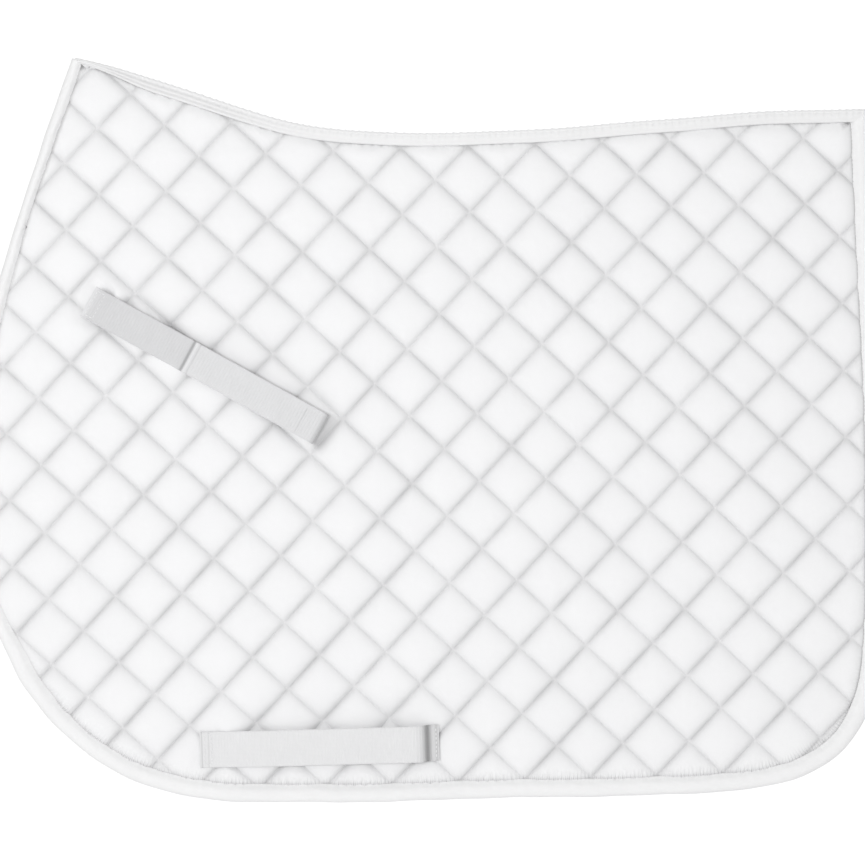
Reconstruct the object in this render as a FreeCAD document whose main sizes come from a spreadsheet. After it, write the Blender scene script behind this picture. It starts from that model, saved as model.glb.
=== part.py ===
import FreeCAD, Part
import Sketcher
import math
import os

# Quilted saddle pad, folded over its spine into a left and a right panel with a narrow gap between.
# x runs from the front (negative, the horse's head) to the rear, z is up, and the centre plane is
# y = 0 with the left panel on the -y side. Every ply, binding, strap and thread group is one body.
# All outlines are lists of (x, z) points; a "loop" is a closed chain of such lists.

os.makedirs("parts", exist_ok=True)
doc = FreeCAD.newDocument("saddle_pad")
V = FreeCAD.Vector
SIDES = ("left", "right")

# ---------------------------------------------------------------- driving dimensions (mm, degrees)
# alias, value or formula, meaning
TABLE = [
    ("centre_gap", "0.9", "half gap between the two folded panels"),
    ("binding_thk", "1.0", "thickness of the edge binding and of the spine tape"),
    ("binding_width", "12.0", "visible width of the edge binding"),
    ("lining_thk", "1.0", "lining fabric"),
    ("wadding_thk", "6.0", "wadding between face and lining"),
    ("face_thk", "1.0", "quilted face fabric"),
    ("ply_gap", "0.1", "clearance between plies"),
    ("thread_thk", "0.4", "thickness of sewing thread lines"),
    ("thread_wide", "0.6", "width of sewing thread lines"),
    ("thread_gap", "0.05", "clearance under a sewing thread line"),
    ("tape_leg", "9.0", "depth of the spine tape's legs"),
    ("fold_z", "-12.0", "height of the fold line between ridge and panels"),
    ("fold_gap", "0.3", "half clearance at the fold line"),
    ("web_thk", "1.3", "webbing thickness"),
    ("billet_width", "23.4", "billet strap width"),
    ("girth_width", "25.4", "girth strap width"),
    ("girth_thk", "1.3", "girth strap thickness"),
    ("hook_thk", "1.0", "thickness of hook tape and of loop tape"),
    ("tape_width", "19.0", "width of hook tape and of loop tape"),
    ("strap_gap", "0.1", "clearance between the layers of the billet strap"),
    ("anchor_len", "14.4", "sewn length of the billet strap's front end"),
    ("billet_len", "187.0", "billet strap length from sewn end to fold"),
    ("tail_len", "106.0", "length of the billet strap's folded-back tail"),
    ("billet_angle", "28.9", "slope of the billet strap below horizontal"),
    ("girth_angle", "-1.8", "slope of the girth strap below horizontal"),
    ("stack_base", "12.0", "inner face of the billet strap, from the centre plane"),
    ("strap_run", "=billet_len - anchor_len - 1.1", "free billet strap, clear at both ends"),
    ("tail_run", "=tail_len - 0.6", "billet tail, clear at its rear end"),
    ("tape_run", "=tail_len - 22", "hook tape and loop tape"),
]
dims = doc.addObject("Spreadsheet::Sheet", "Dims")
for cell, heading in (("A1", "dimension"), ("B1", "value"), ("C1", "meaning")):
    dims.set(cell, heading)
for row, (alias, value, meaning) in enumerate(TABLE, start=2):
    dims.set("A%d" % row, alias)
    dims.set("B%d" % row, value)
    dims.set("C%d" % row, meaning)
    dims.setAlias("B%d" % row, alias)
doc.recompute()
D = {alias: float(dims.get(alias)) for alias, _, _ in TABLE}

# Ply stack from the centre plane outwards: START holds the expression of each layer's inner face
START = {}
offset = "Dims.centre_gap"
for layer, thickness in (("leg_in", "binding_thk"), ("lining", "lining_thk"),
                         ("wadding", "wadding_thk"), ("face", "face_thk")):
    START[layer] = offset
    offset += " + Dims.%s + Dims.ply_gap" % thickness
START["leg_out"] = offset
OUTSIDE = START["leg_out"] + " + Dims.binding_thk"
ON_BINDING = OUTSIDE + " + Dims.thread_gap"
PLIES_WIDE = "Dims.lining_thk + Dims.wadding_thk + Dims.face_thk + 4 * Dims.ply_gap"
STACK_WIDE = "2 * Dims.binding_thk + " + PLIES_WIDE

# Heights just below and just above the fold line
FOLD_LOW = D["fold_z"] - D["fold_gap"]
FOLD_HIGH = D["fold_z"] + D["fold_gap"]

# Insets from the pad's outline
TRIM = D["binding_thk"] + D["ply_gap"]       # plies, inside the binding
OVERCUT = 6.0                                # how far a slot runs past the piece it opens
QUILT_MARGIN = 1.2                           # quilting clear of binding and tape
QUILT_FOLD_MARGIN = 0.6                      # quilting clear of the fold
BINDING_ROW = D["binding_width"] - 1.8       # thread row on the binding
CROWN_ROW_TOP = 3.0                          # crown rows, below the top line
ROW_FOLD_MARGIN = 1.0                        # thread rows clear of the fold
TAPE_END = D["binding_width"] + 0.4          # spine tape's ends, clear of the crown pieces
TAPE_ROWS = (3.2, 7.4)                       # thread rows on the spine tape
TAPE_ROW_MARGIN = 1.0                        # spine rows short of the tape's ends

# ---------------------------------------------------------------- outline of the pad, (x, z)
# Top line, front to rear
TOP = [
    (-243.6, 53.2), (-234.5, 51.1), (-217.0, 46.9), (-199.5, 41.6), (-182.0, 36.4),
    (-164.5, 30.8), (-147.0, 24.5), (-129.5, 18.5), (-112.0, 13.3), (-94.5, 8.4), (-77.0, 4.9),
    (-59.5, 2.4), (-42.0, 1.0), (-24.5, 0.3), (-7.0, 0.0), (10.5, 0.0), (28.0, 0.3), (45.5, 0.7),
    (63.0, 1.4), (80.5, 2.4), (98.0, 3.5), (115.5, 4.9), (133.0, 6.3), (150.5, 7.7),
    (168.0, 9.1), (185.5, 10.5), (203.0, 12.2), (220.5, 13.6), (238.0, 14.7), (255.5, 15.4),
    (273.0, 16.1), (290.5, 16.4), (313.6, 16.8)]
# Front edge, from the front peak down and round to the straight bottom
FRONT_EDGE = [
    (-243.6, 53.2), (-249.2, 37.8), (-254.1, 23.8), (-259.0, 9.8), (-263.6, -4.2),
    (-268.1, -18.2), (-273.0, -32.2), (-277.9, -46.2), (-282.1, -60.2), (-286.3, -74.2),
    (-290.5, -88.2), (-294.7, -102.2), (-298.2, -116.2), (-303.1, -140.7), (-308.0, -172.2),
    (-311.5, -200.2), (-313.6, -238.7), (-312.9, -270.2), (-309.4, -301.7), (-303.8, -326.2),
    (-294.0, -354.2), (-280.0, -383.6), (-259.0, -410.9), (-242.9, -426.3), (-225.4, -439.6),
    (-206.5, -450.1), (-189.0, -457.1), (-171.5, -462.0), (-154.0, -465.1), (-136.5, -466.9)]
# Ends of the straight bottom stretch
FLAT_FRONT = (-119.0, -467.6)
FLAT_REAR = (-30.0, -467.6)
# Rear edge, from the straight bottom round and up to the rear end of the spine
REAR_EDGE = [
    (-14.0, -467.1), (3.5, -466.3), (21.0, -465.6), (38.5, -465.0), (56.0, -464.5),
    (91.0, -464.1), (126.0, -463.7), (161.0, -462.7), (196.0, -461.3), (213.5, -460.2),
    (231.0, -458.5), (248.5, -455.7), (266.0, -450.8), (283.5, -442.0), (294.0, -434.0),
    (301.0, -427.0), (308.0, -417.2), (312.2, -408.8), (317.1, -396.2), (320.6, -378.7),
    (323.4, -354.2), (324.4, -312.2), (324.4, -256.2), (324.1, -214.2), (322.7, -172.2),
    (319.9, -116.2), (317.1, -60.2), (315.0, -11.2), (313.6, 16.8)]

STEP = 4.0              # spacing of the resampled outline
EXTENSION = 30.0        # added at both ends of a line before it is trimmed
MERGE_DISTANCE = 0.8    # a point this close to a cut is dropped
BOTTOM_BELOW = -400.0   # lower edge points lie below this height
CROWN_CLEAR = 1.0       # top line points this close to a crown piece's inner corner are dropped


# ---------------------------------------------------------------- open lines
def resample(points):
    curve = Part.BSplineCurve()
    curve.interpolate([V(x, z, 0) for x, z in points])
    count = max(2, int(round(curve.length() / STEP)) + 1)
    return [(p.x, p.y) for p in curve.discretize(count)]


def relax(points, rounds):
    """Smooth a line by averaging each point with its neighbours; the ends stay."""
    for _ in range(rounds):
        points = [points[0]] + [
            ((a[0] + 2 * b[0] + c[0]) / 4, (a[1] + 2 * b[1] + c[1]) / 4)
            for a, b, c in zip(points, points[1:], points[2:])] + [points[-1]]
    return points


def distance(a, b):
    return math.hypot(a[0] - b[0], a[1] - b[1])


def direction(a, b):
    length = distance(b, a)
    return (b[0] - a[0]) / length, (b[1] - a[1]) / length


def flipped(points):
    return list(reversed(points))


def extended(points):
    """The line with a straight extension at both ends."""
    def beyond(inner, end):
        run_x, run_z = direction(inner, end)
        return end[0] + run_x * EXTENSION, end[1] + run_z * EXTENSION

    return [beyond(points[1], points[0])] + points + [beyond(points[-2], points[-1])]


def shifted(points, by):
    """The line moved sideways: positive is to the left of its run, negative to the right."""
    out = []
    for k, (x, z) in enumerate(points):
        run_x, run_z = direction(points[max(k - 1, 0)], points[min(k + 1, len(points) - 1)])
        out.append((x - run_z * by, z + run_x * by))
    return out


def crossing(one, two):
    """Where two lines cross: the segment's index in each, and the point."""
    for i in range(len(one) - 1):
        (ax, az), (bx, bz) = one[i], one[i + 1]
        for k in range(len(two) - 1):
            (cx, cz), (dx, dz) = two[k], two[k + 1]
            if max(ax, bx) < min(cx, dx) or max(cx, dx) < min(ax, bx):
                continue
            cross = (bx - ax) * (dz - cz) - (bz - az) * (dx - cx)
            if abs(cross) < 1e-12:
                continue
            along_one = ((cx - ax) * (dz - cz) - (cz - az) * (dx - cx)) / cross
            along_two = ((cx - ax) * (bz - az) - (cz - az) * (bx - ax)) / cross
            if 0 <= along_one <= 1 and 0 <= along_two <= 1:
                return i, k, (ax + along_one * (bx - ax), az + along_one * (bz - az))
    raise ValueError("lines do not cross")


def after(points, index, cut):
    """The part of the line after a cut in segment index."""
    rest = points[index + 1:]
    if rest and distance(rest[0], cut) < MERGE_DISTANCE:
        rest = rest[1:]
    return [cut] + rest


def before(points, index, cut):
    """The part of the line before a cut in segment index."""
    rest = points[:index + 1]
    if rest and distance(rest[-1], cut) < MERGE_DISTANCE:
        rest = rest[:-1]
    return rest + [cut]


def thin(points):
    """Every third point of a long line, with both ends."""
    if len(points) < 8:
        return points
    return points[:1] + points[2:-2:3] + points[-1:]


flat_count = int((FLAT_REAR[0] - FLAT_FRONT[0]) / STEP)
flat_line = [(FLAT_FRONT[0] + (FLAT_REAR[0] - FLAT_FRONT[0]) * k / flat_count, FLAT_FRONT[1])
             for k in range(1, flat_count)]
top_line = relax(resample(TOP), 30)
edge_line = (relax(resample(FRONT_EDGE + [FLAT_FRONT]), 30) + flat_line
             + relax(resample([FLAT_REAR] + REAR_EDGE), 12))


def inset(edge_by, top_by):
    """Edge and top lines moved inwards and trimmed to each other, both front to rear."""
    edge = shifted(extended(edge_line), edge_by)
    top = shifted(extended(top_line), -top_by)
    half = len(edge) // 2
    edge_front, top_front, front_corner = crossing(edge[:half], top)
    edge_rear, top_rear, rear_corner = crossing(edge[half:], top)
    edge = after(before(edge, edge_rear + half, rear_corner), edge_front, front_corner)
    top = after(before(top, top_rear, rear_corner), top_front, front_corner)
    return edge, top


def level(points, height):
    """The edge line split at a height: front part above, middle below, rear part above."""
    cuts = []
    for k, (a, b) in enumerate(zip(points, points[1:])):
        rise_a, rise_b = a[1] - height, b[1] - height
        if (rise_a > 0) != (rise_b > 0):
            share = rise_a / (rise_a - rise_b)
            cuts.append((k, (a[0] + share * (b[0] - a[0]), height)))
    (i, front), (k, rear) = cuts[0], cuts[-1]
    middle = after(before(points, k, rear), i, front)
    return before(points, i, front), middle, after(points, k, rear)


# ---------------------------------------------------------------- closed loops
def with_flat(lower):
    """The panel's lower edge as a curve, the straight bottom stretch, and a curve."""
    on_flat = [k for k, p in enumerate(lower)
               if FLAT_FRONT[0] <= p[0] <= FLAT_REAR[0] and p[1] < BOTTOM_BELOW]
    a, b = on_flat[0], on_flat[-1]
    height = (lower[a][1] + lower[b][1]) / 2
    first, last = (lower[a][0], height), (lower[b][0], height)
    return [thin(lower[:a] + [first]), [first, last], thin([last] + lower[b + 1:])]


def strip(one, two):
    """Closed loop between two lines that run the same way."""
    return [one, [one[-1], two[-1]], flipped(two), [two[0], one[0]]]


def panel_loop(by, height):
    """The panel below a height, inset from the edge."""
    lower = level(inset(by, by)[0], height)[1]
    return with_flat(lower) + [[lower[-1], lower[0]]]


def ridge_loop(by, top_by, height):
    """The ridge between a height and the top line."""
    edge, top = inset(by, top_by)
    front, _, rear = level(edge, height)
    return [thin(top), flipped(thin(rear)), [rear[0], front[-1]], flipped(thin(front))]


def band_loop(outer_by, inner_by, height):
    """Strip along the panel's free edge between two insets, below a height."""
    outer = level(inset(outer_by, outer_by)[0], height)[1]
    inner = level(inset(inner_by, inner_by)[0], height)[1]
    back = [flipped(part) for part in reversed(with_flat(inner))]
    return with_flat(outer) + [[outer[-1], inner[-1]]] + back + [[inner[0], outer[0]]]


def corner_loop(outer_by, inner_by, height, rear):
    """Strip along the front or rear edge above a height, closed by the top line."""
    edge, top = inset(outer_by, outer_by)
    inner_edge, _ = inset(inner_by, outer_by)
    if rear:
        outer = flipped(level(edge, height)[2])
        inner = flipped(level(inner_edge, height)[2])
        cap = [p for p in reversed(top) if p[0] > inner[0][0] + CROWN_CLEAR]
    else:
        outer = level(edge, height)[0]
        inner = level(inner_edge, height)[0]
        cap = [p for p in top if p[0] < inner[0][0] - CROWN_CLEAR]
    return [cap + [inner[0]], thin(inner), [inner[-1], outer[-1]], flipped(thin(outer))]


def tape_loop(upper_by, lower_by, end_by):
    """Strip along the top line between two insets, its ends inset from the edges."""
    return strip(thin(inset(end_by, upper_by)[1]), thin(inset(end_by, lower_by)[1]))


# ---------------------------------------------------------------- building blocks
made = []


def new_body(label, frame=None):
    body = doc.addObject("PartDesign::Body", label)
    body.Label = label
    if frame:
        body.Placement = frame
    made.append(body)
    return body


def plane_sketch(body, name, role):
    sketch = body.newObject("Sketcher::SketchObject", name)
    plane = [f for f in body.Origin.OriginFeatures if f.Role == role][0]
    sketch.AttachmentSupport = [(plane, "")]
    sketch.MapMode = "FlatFace"
    return sketch


def side_sketch(body, name, side, offset_expr):
    """Sketch parallel to the centre plane, on its left (-y) or right (+y) side."""
    sketch = plane_sketch(body, name, "XZ_Plane")
    sign = "" if side == "left" else "-1 * "
    sketch.setExpression("AttachmentOffset.Base.z", "%s(%s)" % (sign, offset_expr))
    return sketch


def add_loop(sketch, loop):
    """Two-point parts become straight lines, longer ones splines; all are blocked in place."""
    edges = []
    for part in loop:
        points = [V(x, z, 0) for x, z in part]
        if len(points) == 2:
            edges.append(Part.LineSegment(*points))
        else:
            spline = Part.BSplineCurve()
            spline.interpolate(points)
            edges.append(spline)
    first = sketch.GeometryCount
    sketch.addGeometry(edges)
    for k in range(len(edges)):
        sketch.addConstraint(Sketcher.Constraint("Block", first + k))


def add_polygon(sketch, points):
    for a, b in zip(points, points[1:] + points[:1]):
        sketch.addGeometry(Part.LineSegment(V(a[0], a[1], 0), V(b[0], b[1], 0)))


def rectangle(start, end, half_width):
    return [(start, -half_width), (end, -half_width), (end, half_width), (start, half_width)]


def outward(body, sketch, name, side, length_expr):
    """Pad a side sketch away from the centre plane."""
    pad = body.newObject("PartDesign::Pad", name)
    pad.Profile = sketch
    pad.setExpression("Length", length_expr)
    pad.Reversed = side == "right"
    sketch.Visibility = False


def ply(label, side, loop, offset_expr, length_expr):
    """A body of one flat layer."""
    body = new_body(label)
    sketch = side_sketch(body, label + "_outline", side, offset_expr)
    add_loop(sketch, loop)
    outward(body, sketch, label + "_pad", side, length_expr)
    return body


def pocket(body, label, side, loop, offset_expr, length_expr):
    """Cut the slot that the plies fill."""
    doc.recompute()
    mostly_whole = 0.97 * body.Shape.Volume
    sketch = side_sketch(body, label + "_slot", side, offset_expr)
    add_loop(sketch, loop)
    cut = body.newObject("PartDesign::Pocket", label + "_pocket")
    cut.Profile = sketch
    cut.setExpression("Length", length_expr)
    cut.Reversed = side == "left"
    doc.recompute()
    # Guards against a pocket that runs away from the solid and removes next to nothing
    if body.Shape.Volume > mostly_whole:
        cut.Reversed = not cut.Reversed
        doc.recompute()
    assert body.Shape.Volume < mostly_whole, label
    sketch.Visibility = False


def seam(body, name, side, loop, offset_expr):
    """A sewn thread line as one thin strip."""
    sketch = side_sketch(body, name, side, offset_expr)
    add_loop(sketch, loop)
    outward(body, sketch, name + "_pad", side, "Dims.thread_thk")
    doc.recompute()


# ---------------------------------------------------------------- quilting lattice
# Square lattice of about 33 mm pitch, slightly sheared. u (rearwards) and v (downwards) are panel
# coordinates of about +-1; each entry is (power of u, power of v): (share of i, share of j).
QUILT_CENTRE = (8.4, -207.2)
QUILT_SCALE = (302.4, 259.0)
QUILT = {
    (0, 0): (-7.8958, -0.4579), (0, 1): (-5.69, 5.2637), (0, 2): (-0.0422, -0.024),
    (0, 3): (-0.0489, 0.0615), (1, 0): (6.177, 6.6451), (1, 1): (0.0476, 0.0428),
    (1, 2): (0.0606, 0.043), (2, 0): (0.0692, -0.0342), (2, 1): (-0.0271, 0.0463),
    (3, 0): (0.0177, 0.0046)}
SOLVE_START = (0.0, -210.0)     # first guess of quilt_point
SOLVE_STEP = 0.5                # step of its slopes
SHORTEST_PIECE = 8.0            # a shorter last piece of a thread is merged into the one before


def quilt_index(x, z):
    """Lattice indices i and j of a point."""
    u = (x - QUILT_CENTRE[0]) / QUILT_SCALE[0]
    v = (QUILT_CENTRE[1] - z) / QUILT_SCALE[1]
    i = sum(share[0] * u ** a * v ** b for (a, b), share in QUILT.items())
    j = sum(share[1] * u ** a * v ** b for (a, b), share in QUILT.items())
    return i, j


def quilt_point(i, j):
    """The point with given lattice indices, by Newton's method."""
    x, z = SOLVE_START
    for _ in range(12):
        here_i, here_j = quilt_index(x, z)
        rear_i, rear_j = quilt_index(x + SOLVE_STEP, z)
        up_i, up_j = quilt_index(x, z + SOLVE_STEP)
        i_by_x, i_by_z = (rear_i - here_i) / SOLVE_STEP, (up_i - here_i) / SOLVE_STEP
        j_by_x, j_by_z = (rear_j - here_j) / SOLVE_STEP, (up_j - here_j) / SOLVE_STEP
        det = i_by_x * j_by_z - i_by_z * j_by_x
        miss_i, miss_j = i - here_i, j - here_j
        x += (j_by_z * miss_i - i_by_z * miss_j) / det
        z += (i_by_x * miss_j - j_by_x * miss_i) / det
    return x, z


def inside(point, outline):
    hit = False
    for (ax, az), (bx, bz) in zip(outline, outline[1:] + outline[:1]):
        if (az > point[1]) != (bz > point[1]):
            if point[0] < ax + (point[1] - az) * (bx - ax) / (bz - az):
                hit = not hit
    return hit


def quilt_lines(slope, outline):
    """Runs of one family of lattice lines inside an outline; rising lines keep i, falling j."""
    runs = []
    for k in range(-26, 24):
        along = [sixth / 6.0 for sixth in range(-180, 181)]
        points = [quilt_point(k, w) if slope == "rising" else quilt_point(w, k) for w in along]
        points = [p for p in points if -330 < p[0] < 340 and -480 < p[1] < 60]
        run = []
        for p in points:
            if inside(p, outline):
                run.append(p)
            else:
                if len(run) > 2:
                    runs.append(run)
                run = []
        if len(run) > 2:
            runs.append(run)
    return runs


def quilt_threads(label, side, loop):
    """Both thread families on the face fabric, the rising one laid over the falling one."""
    outline = [p for part in loop for p in part[:-1]]
    body = new_body(label)
    half = D["thread_wide"] / 2
    under = START["face"] + " + Dims.face_thk + Dims.thread_gap"
    over = under + " + Dims.thread_thk + Dims.thread_gap"
    for slope, offset_expr in (("falling", under), ("rising", over)):
        name = "%s_%s" % (label, slope)
        sketch = side_sketch(body, name, side, offset_expr)
        for run in quilt_lines(slope, outline):
            picked = run[:-1:max(1, (len(run) - 1) // 3)]
            if distance(picked[-1], run[-1]) < SHORTEST_PIECE and len(picked) > 1:
                picked = picked[:-1]
            picked = picked + [run[-1]]
            add_polygon(sketch, shifted(picked, half) + flipped(shifted(picked, -half)))
        outward(body, sketch, name + "_pad", side, "Dims.thread_thk")
        doc.recompute()


# ---------------------------------------------------------------- plies, binding and spine tape
def fabric_plies(side):
    """Lining, wadding and face, each as a panel and a ridge piece."""
    for layer, piece in (("lining", "lining_fabric"), ("wadding", "wadding"),
                         ("face", "face_fabric")):
        thickness = "Dims.%s_thk" % layer
        ply("%s_%s" % (side, piece), side, panel_loop(TRIM, FOLD_LOW), START[layer], thickness)
        ply("%s_ridge_%s" % (side, piece), side, ridge_loop(TRIM, TRIM, FOLD_HIGH),
            START[layer], thickness)


def edge_binding(side):
    """U-shaped binding round the panel's free edge."""
    label = side + "_edge_binding"
    body = ply(label, side, band_loop(0.0, D["binding_width"], FOLD_LOW),
               START["leg_in"], STACK_WIDE)
    slot = band_loop(D["binding_thk"], D["binding_width"] + OVERCUT, FOLD_LOW + OVERCUT)
    pocket(body, label, side, slot, START["leg_in"] + " + Dims.binding_thk", PLIES_WIDE)


def binding_stitching(side):
    """One thread row on the binding's outer leg and one on its inner leg."""
    body = new_body(side + "_binding_stitching")
    row = band_loop(BINDING_ROW, BINDING_ROW + D["thread_wide"], FOLD_LOW - ROW_FOLD_MARGIN)
    seam(body, side + "_binding_row_out", side, row, ON_BINDING)
    seam(body, side + "_binding_row_in", side, row,
         "Dims.centre_gap - Dims.thread_gap - Dims.thread_thk")


def quilting(side):
    edge_by = D["binding_width"] + QUILT_MARGIN
    quilt_threads(side + "_quilting_threads", side,
                  panel_loop(edge_by, FOLD_LOW - QUILT_FOLD_MARGIN))
    quilt_threads(side + "_ridge_quilting_threads", side,
                  ridge_loop(edge_by, D["tape_leg"] + QUILT_MARGIN,
                             FOLD_HIGH + QUILT_FOLD_MARGIN))


def crown_binding(label, rear):
    """Binding across both sides above the fold, slotted on each side for the plies."""
    body = ply(label, "left", corner_loop(0.0, D["binding_width"], FOLD_HIGH, rear),
               "-1 * (%s)" % OUTSIDE, "2 * (%s)" % OUTSIDE)
    for side in SIDES:
        slot = corner_loop(D["binding_thk"], D["binding_width"] + OVERCUT,
                           FOLD_HIGH - OVERCUT, rear)
        pocket(body, label + "_" + side, side, slot,
               START["leg_in"] + " + Dims.binding_thk", PLIES_WIDE)


def crown_stitching():
    body = new_body("crown_binding_stitching")
    for side in SIDES:
        for end, part in (("front", 0), ("rear", 2)):
            outer, inner = (
                thin(level(inset(by, CROWN_ROW_TOP)[0], FOLD_HIGH + ROW_FOLD_MARGIN)[part])
                for by in (BINDING_ROW, BINDING_ROW + D["thread_wide"]))
            seam(body, "crown_row_%s_%s" % (side, end), side, strip(outer, inner), ON_BINDING)


def spine_tape():
    """Tape along the top line with a leg down each outer side."""
    body = ply("spine_tape", "left", tape_loop(0.0, D["tape_leg"], TAPE_END),
               "-1 * (%s)" % OUTSIDE, "2 * (%s)" % OUTSIDE)
    slot = tape_loop(D["binding_thk"], D["tape_leg"] + OVERCUT, TAPE_END - OVERCUT)
    pocket(body, "spine_tape", "left", slot,
           "-1 * (%s)" % START["leg_out"], "2 * (%s)" % START["leg_out"])


def spine_stitching():
    body = new_body("spine_tape_stitching")
    half = D["thread_wide"] / 2
    for side in SIDES:
        for n, by in enumerate(TAPE_ROWS):
            row = tape_loop(by - half, by + half, TAPE_END + TAPE_ROW_MARGIN)
            seam(body, "spine_row_%s_%d" % (side, n), side, row, ON_BINDING)


# ---------------------------------------------------------------- straps
def strap_frame(origin, angle):
    """Frame at the strap's front end: its x runs rearwards along the strap."""
    return FreeCAD.Placement(V(origin[0], 0, origin[1]), FreeCAD.Rotation(V(0, 1, 0), angle))


# Front ends of the straps (x, z)
BILLET_FRAME = strap_frame((-232.4, -116.9), D["billet_angle"])
GIRTH_FRAME = strap_frame((-154.0, -431.2), D["girth_angle"])

# Places along the billet strap
FREE_START = D["anchor_len"] + 0.6
TAIL_START = D["billet_len"] - D["tail_len"]
TAPE_START = TAIL_START + 9

# Inner faces of the billet strap's layers, from the centre plane outwards
ANCHOR_DEPTH = "Dims.stack_base - Dims.web_thk / 2"
LOOP_DEPTH = "Dims.stack_base + Dims.web_thk + Dims.strap_gap"
HOOK_DEPTH = LOOP_DEPTH + " + Dims.hook_thk + Dims.strap_gap"
TAIL_DEPTH = HOOK_DEPTH + " + Dims.hook_thk + Dims.strap_gap"

# Layers beyond the sewn end: name, start, then aliases of length, thickness and width; depth
BILLET_LAYERS = [
    ("strap", FREE_START, "strap_run", "web_thk", "billet_width", "Dims.stack_base"),
    ("loop_tape", TAPE_START, "tape_run", "hook_thk", "tape_width", LOOP_DEPTH),
    ("hook_tape", TAPE_START, "tape_run", "hook_thk", "tape_width", HOOK_DEPTH),
    ("tail", TAIL_START, "tail_run", "web_thk", "billet_width", TAIL_DEPTH),
]

# Side profile of the girth strap at mid-thickness: (along the strap, from the centre plane)
GIRTH = [
    (0, 12.0), (5, 12.0), (10, 12.0), (14, 12.05), (18, 12.4), (22, 13.1), (27, 14.2),
    (33, 15.4), (40, 16.5), (50, 17.5), (62, 18.1), (78, 18.5), (95, 18.7), (112, 18.8),
    (128, 18.8), (140, 18.7), (147, 18.5), (151, 18.05), (154.3, 16.9), (156.6, 15.3),
    (158.4, 13.75), (160.4, 12.55), (162.6, 12.05), (164.6, 12.0), (166.6, 12.0)]
GIRTH_THREADS = "%s + Dims.girth_thk / 2 + Dims.thread_gap" % GIRTH[0][1]

# Thread rows: start and end along the strap, and distance in from the strap's long edges
BILLET_BOX = (2.5, 11.5)
BILLET_BOX_MARGIN = 2.2
GIRTH_BOX = (2.4, 10.6)
GIRTH_BOX_MARGIN = 2.0
GIRTH_REAR_ROW = 165.0


def flat_strap(side, name, start, length, thickness, width, depth_expr):
    """A flat layer of the billet strap; length, thickness and width are aliases."""
    label = "%s_billet_%s" % (side, name)
    body = new_body(label, BILLET_FRAME)
    sketch = side_sketch(body, label + "_outline", side, depth_expr)
    add_polygon(sketch, rectangle(start, start + D[length], D[width] / 2))

    def constrain(*terms):
        return sketch.addConstraint(Sketcher.Constraint(*terms))

    for k in range(4):
        constrain("Coincident", k, 2, (k + 1) % 4, 1)
    constrain("Horizontal", 0)
    constrain("Horizontal", 2)
    constrain("Vertical", 1)
    index = constrain("DistanceX", 0, 1, 0, 2, D[length])
    sketch.setExpression("Constraints[%d]" % index, "Dims." + length)
    index = constrain("DistanceY", 1, 1, 1, 2, D[width])
    sketch.setExpression("Constraints[%d]" % index, "Dims." + width)
    constrain("Symmetric", 0, 1, 3, 1, -1)
    if start > 0:
        constrain("DistanceX", -1, 1, 0, 1, start)
    else:
        constrain("PointOnObject", 0, 1, -2)
    outward(body, sketch, label + "_pad", side, "Dims." + thickness)


def box_seam(label, frame, side, ends, half_width, depth_expr):
    """A closed rectangular thread row."""
    body = new_body(label, frame)
    sketch = side_sketch(body, label + "_rows", side, depth_expr)
    wide = D["thread_wide"]
    add_polygon(sketch, rectangle(ends[0], ends[1], half_width))
    add_polygon(sketch, rectangle(ends[0] + wide, ends[1] - wide, half_width - wide))
    outward(body, sketch, label + "_pad", side, "Dims.thread_thk")
    doc.recompute()
    return body


def billet_strap(side):
    """Sewn front end, free strap, the two tapes and the folded-back tail."""
    flat_strap(side, "anchor", 0.0, "anchor_len", "web_thk", "billet_width", ANCHOR_DEPTH)
    box_seam(side + "_billet_anchor_stitching", BILLET_FRAME, side, BILLET_BOX,
             D["billet_width"] / 2 - BILLET_BOX_MARGIN,
             ANCHOR_DEPTH + " + Dims.web_thk + Dims.thread_gap")
    for layer in BILLET_LAYERS:
        flat_strap(side, *layer)


def girth_strap(side):
    """An arched loop of webbing with a flat foot at each end."""
    label = side + "_girth_strap"
    body = new_body(label, GIRTH_FRAME)
    sketch = plane_sketch(body, label + "_profile", "XY_Plane")
    sign = -1.0 if side == "left" else 1.0
    outer, inner = ([(along, sign * depth) for along, depth in shifted(GIRTH, by)]
                    for by in (D["girth_thk"] / 2, -D["girth_thk"] / 2))
    add_loop(sketch, strip(outer, inner))
    pad = body.newObject("PartDesign::Pad", label + "_pad")
    pad.Profile = sketch
    pad.setExpression("Length", "Dims.girth_width")
    pad.SideType = "Symmetric"
    sketch.Visibility = False


def girth_stitching(side):
    """A rectangular row on the front foot and a single row across the rear foot."""
    half_width = D["girth_width"] / 2 - GIRTH_BOX_MARGIN
    body = box_seam(side + "_girth_strap_stitching", GIRTH_FRAME, side, GIRTH_BOX,
                    half_width, GIRTH_THREADS)
    name = side + "_girth_rear_row"
    sketch = side_sketch(body, name, side, GIRTH_THREADS)
    add_polygon(sketch, rectangle(GIRTH_REAR_ROW, GIRTH_REAR_ROW + D["thread_wide"], half_width))
    outward(body, sketch, name + "_pad", side, "Dims.thread_thk")


# ---------------------------------------------------------------- assembly and export
for side in SIDES:
    fabric_plies(side)
    edge_binding(side)
    binding_stitching(side)
    quilting(side)
crown_binding("front_crown_binding", rear=False)
crown_binding("rear_crown_binding", rear=True)
crown_stitching()
spine_tape()
spine_stitching()
for side in SIDES:
    billet_strap(side)
    girth_strap(side)
    girth_stitching(side)
doc.recompute()

bad = []
for body in made:
    shape = body.Shape
    states = list(body.State) + [state for f in body.Group for state in f.State]
    failed = any("Invalid" in state or "Error" in state for state in states)
    if failed or shape.isNull() or not shape.isValid() or shape.Volume <= 0:
        bad.append(body.Label)
    else:
        shape.exportStep("parts/%s.step" % body.Label)
if bad:
    raise SystemExit("bad bodies: " + ", ".join(bad))
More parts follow.
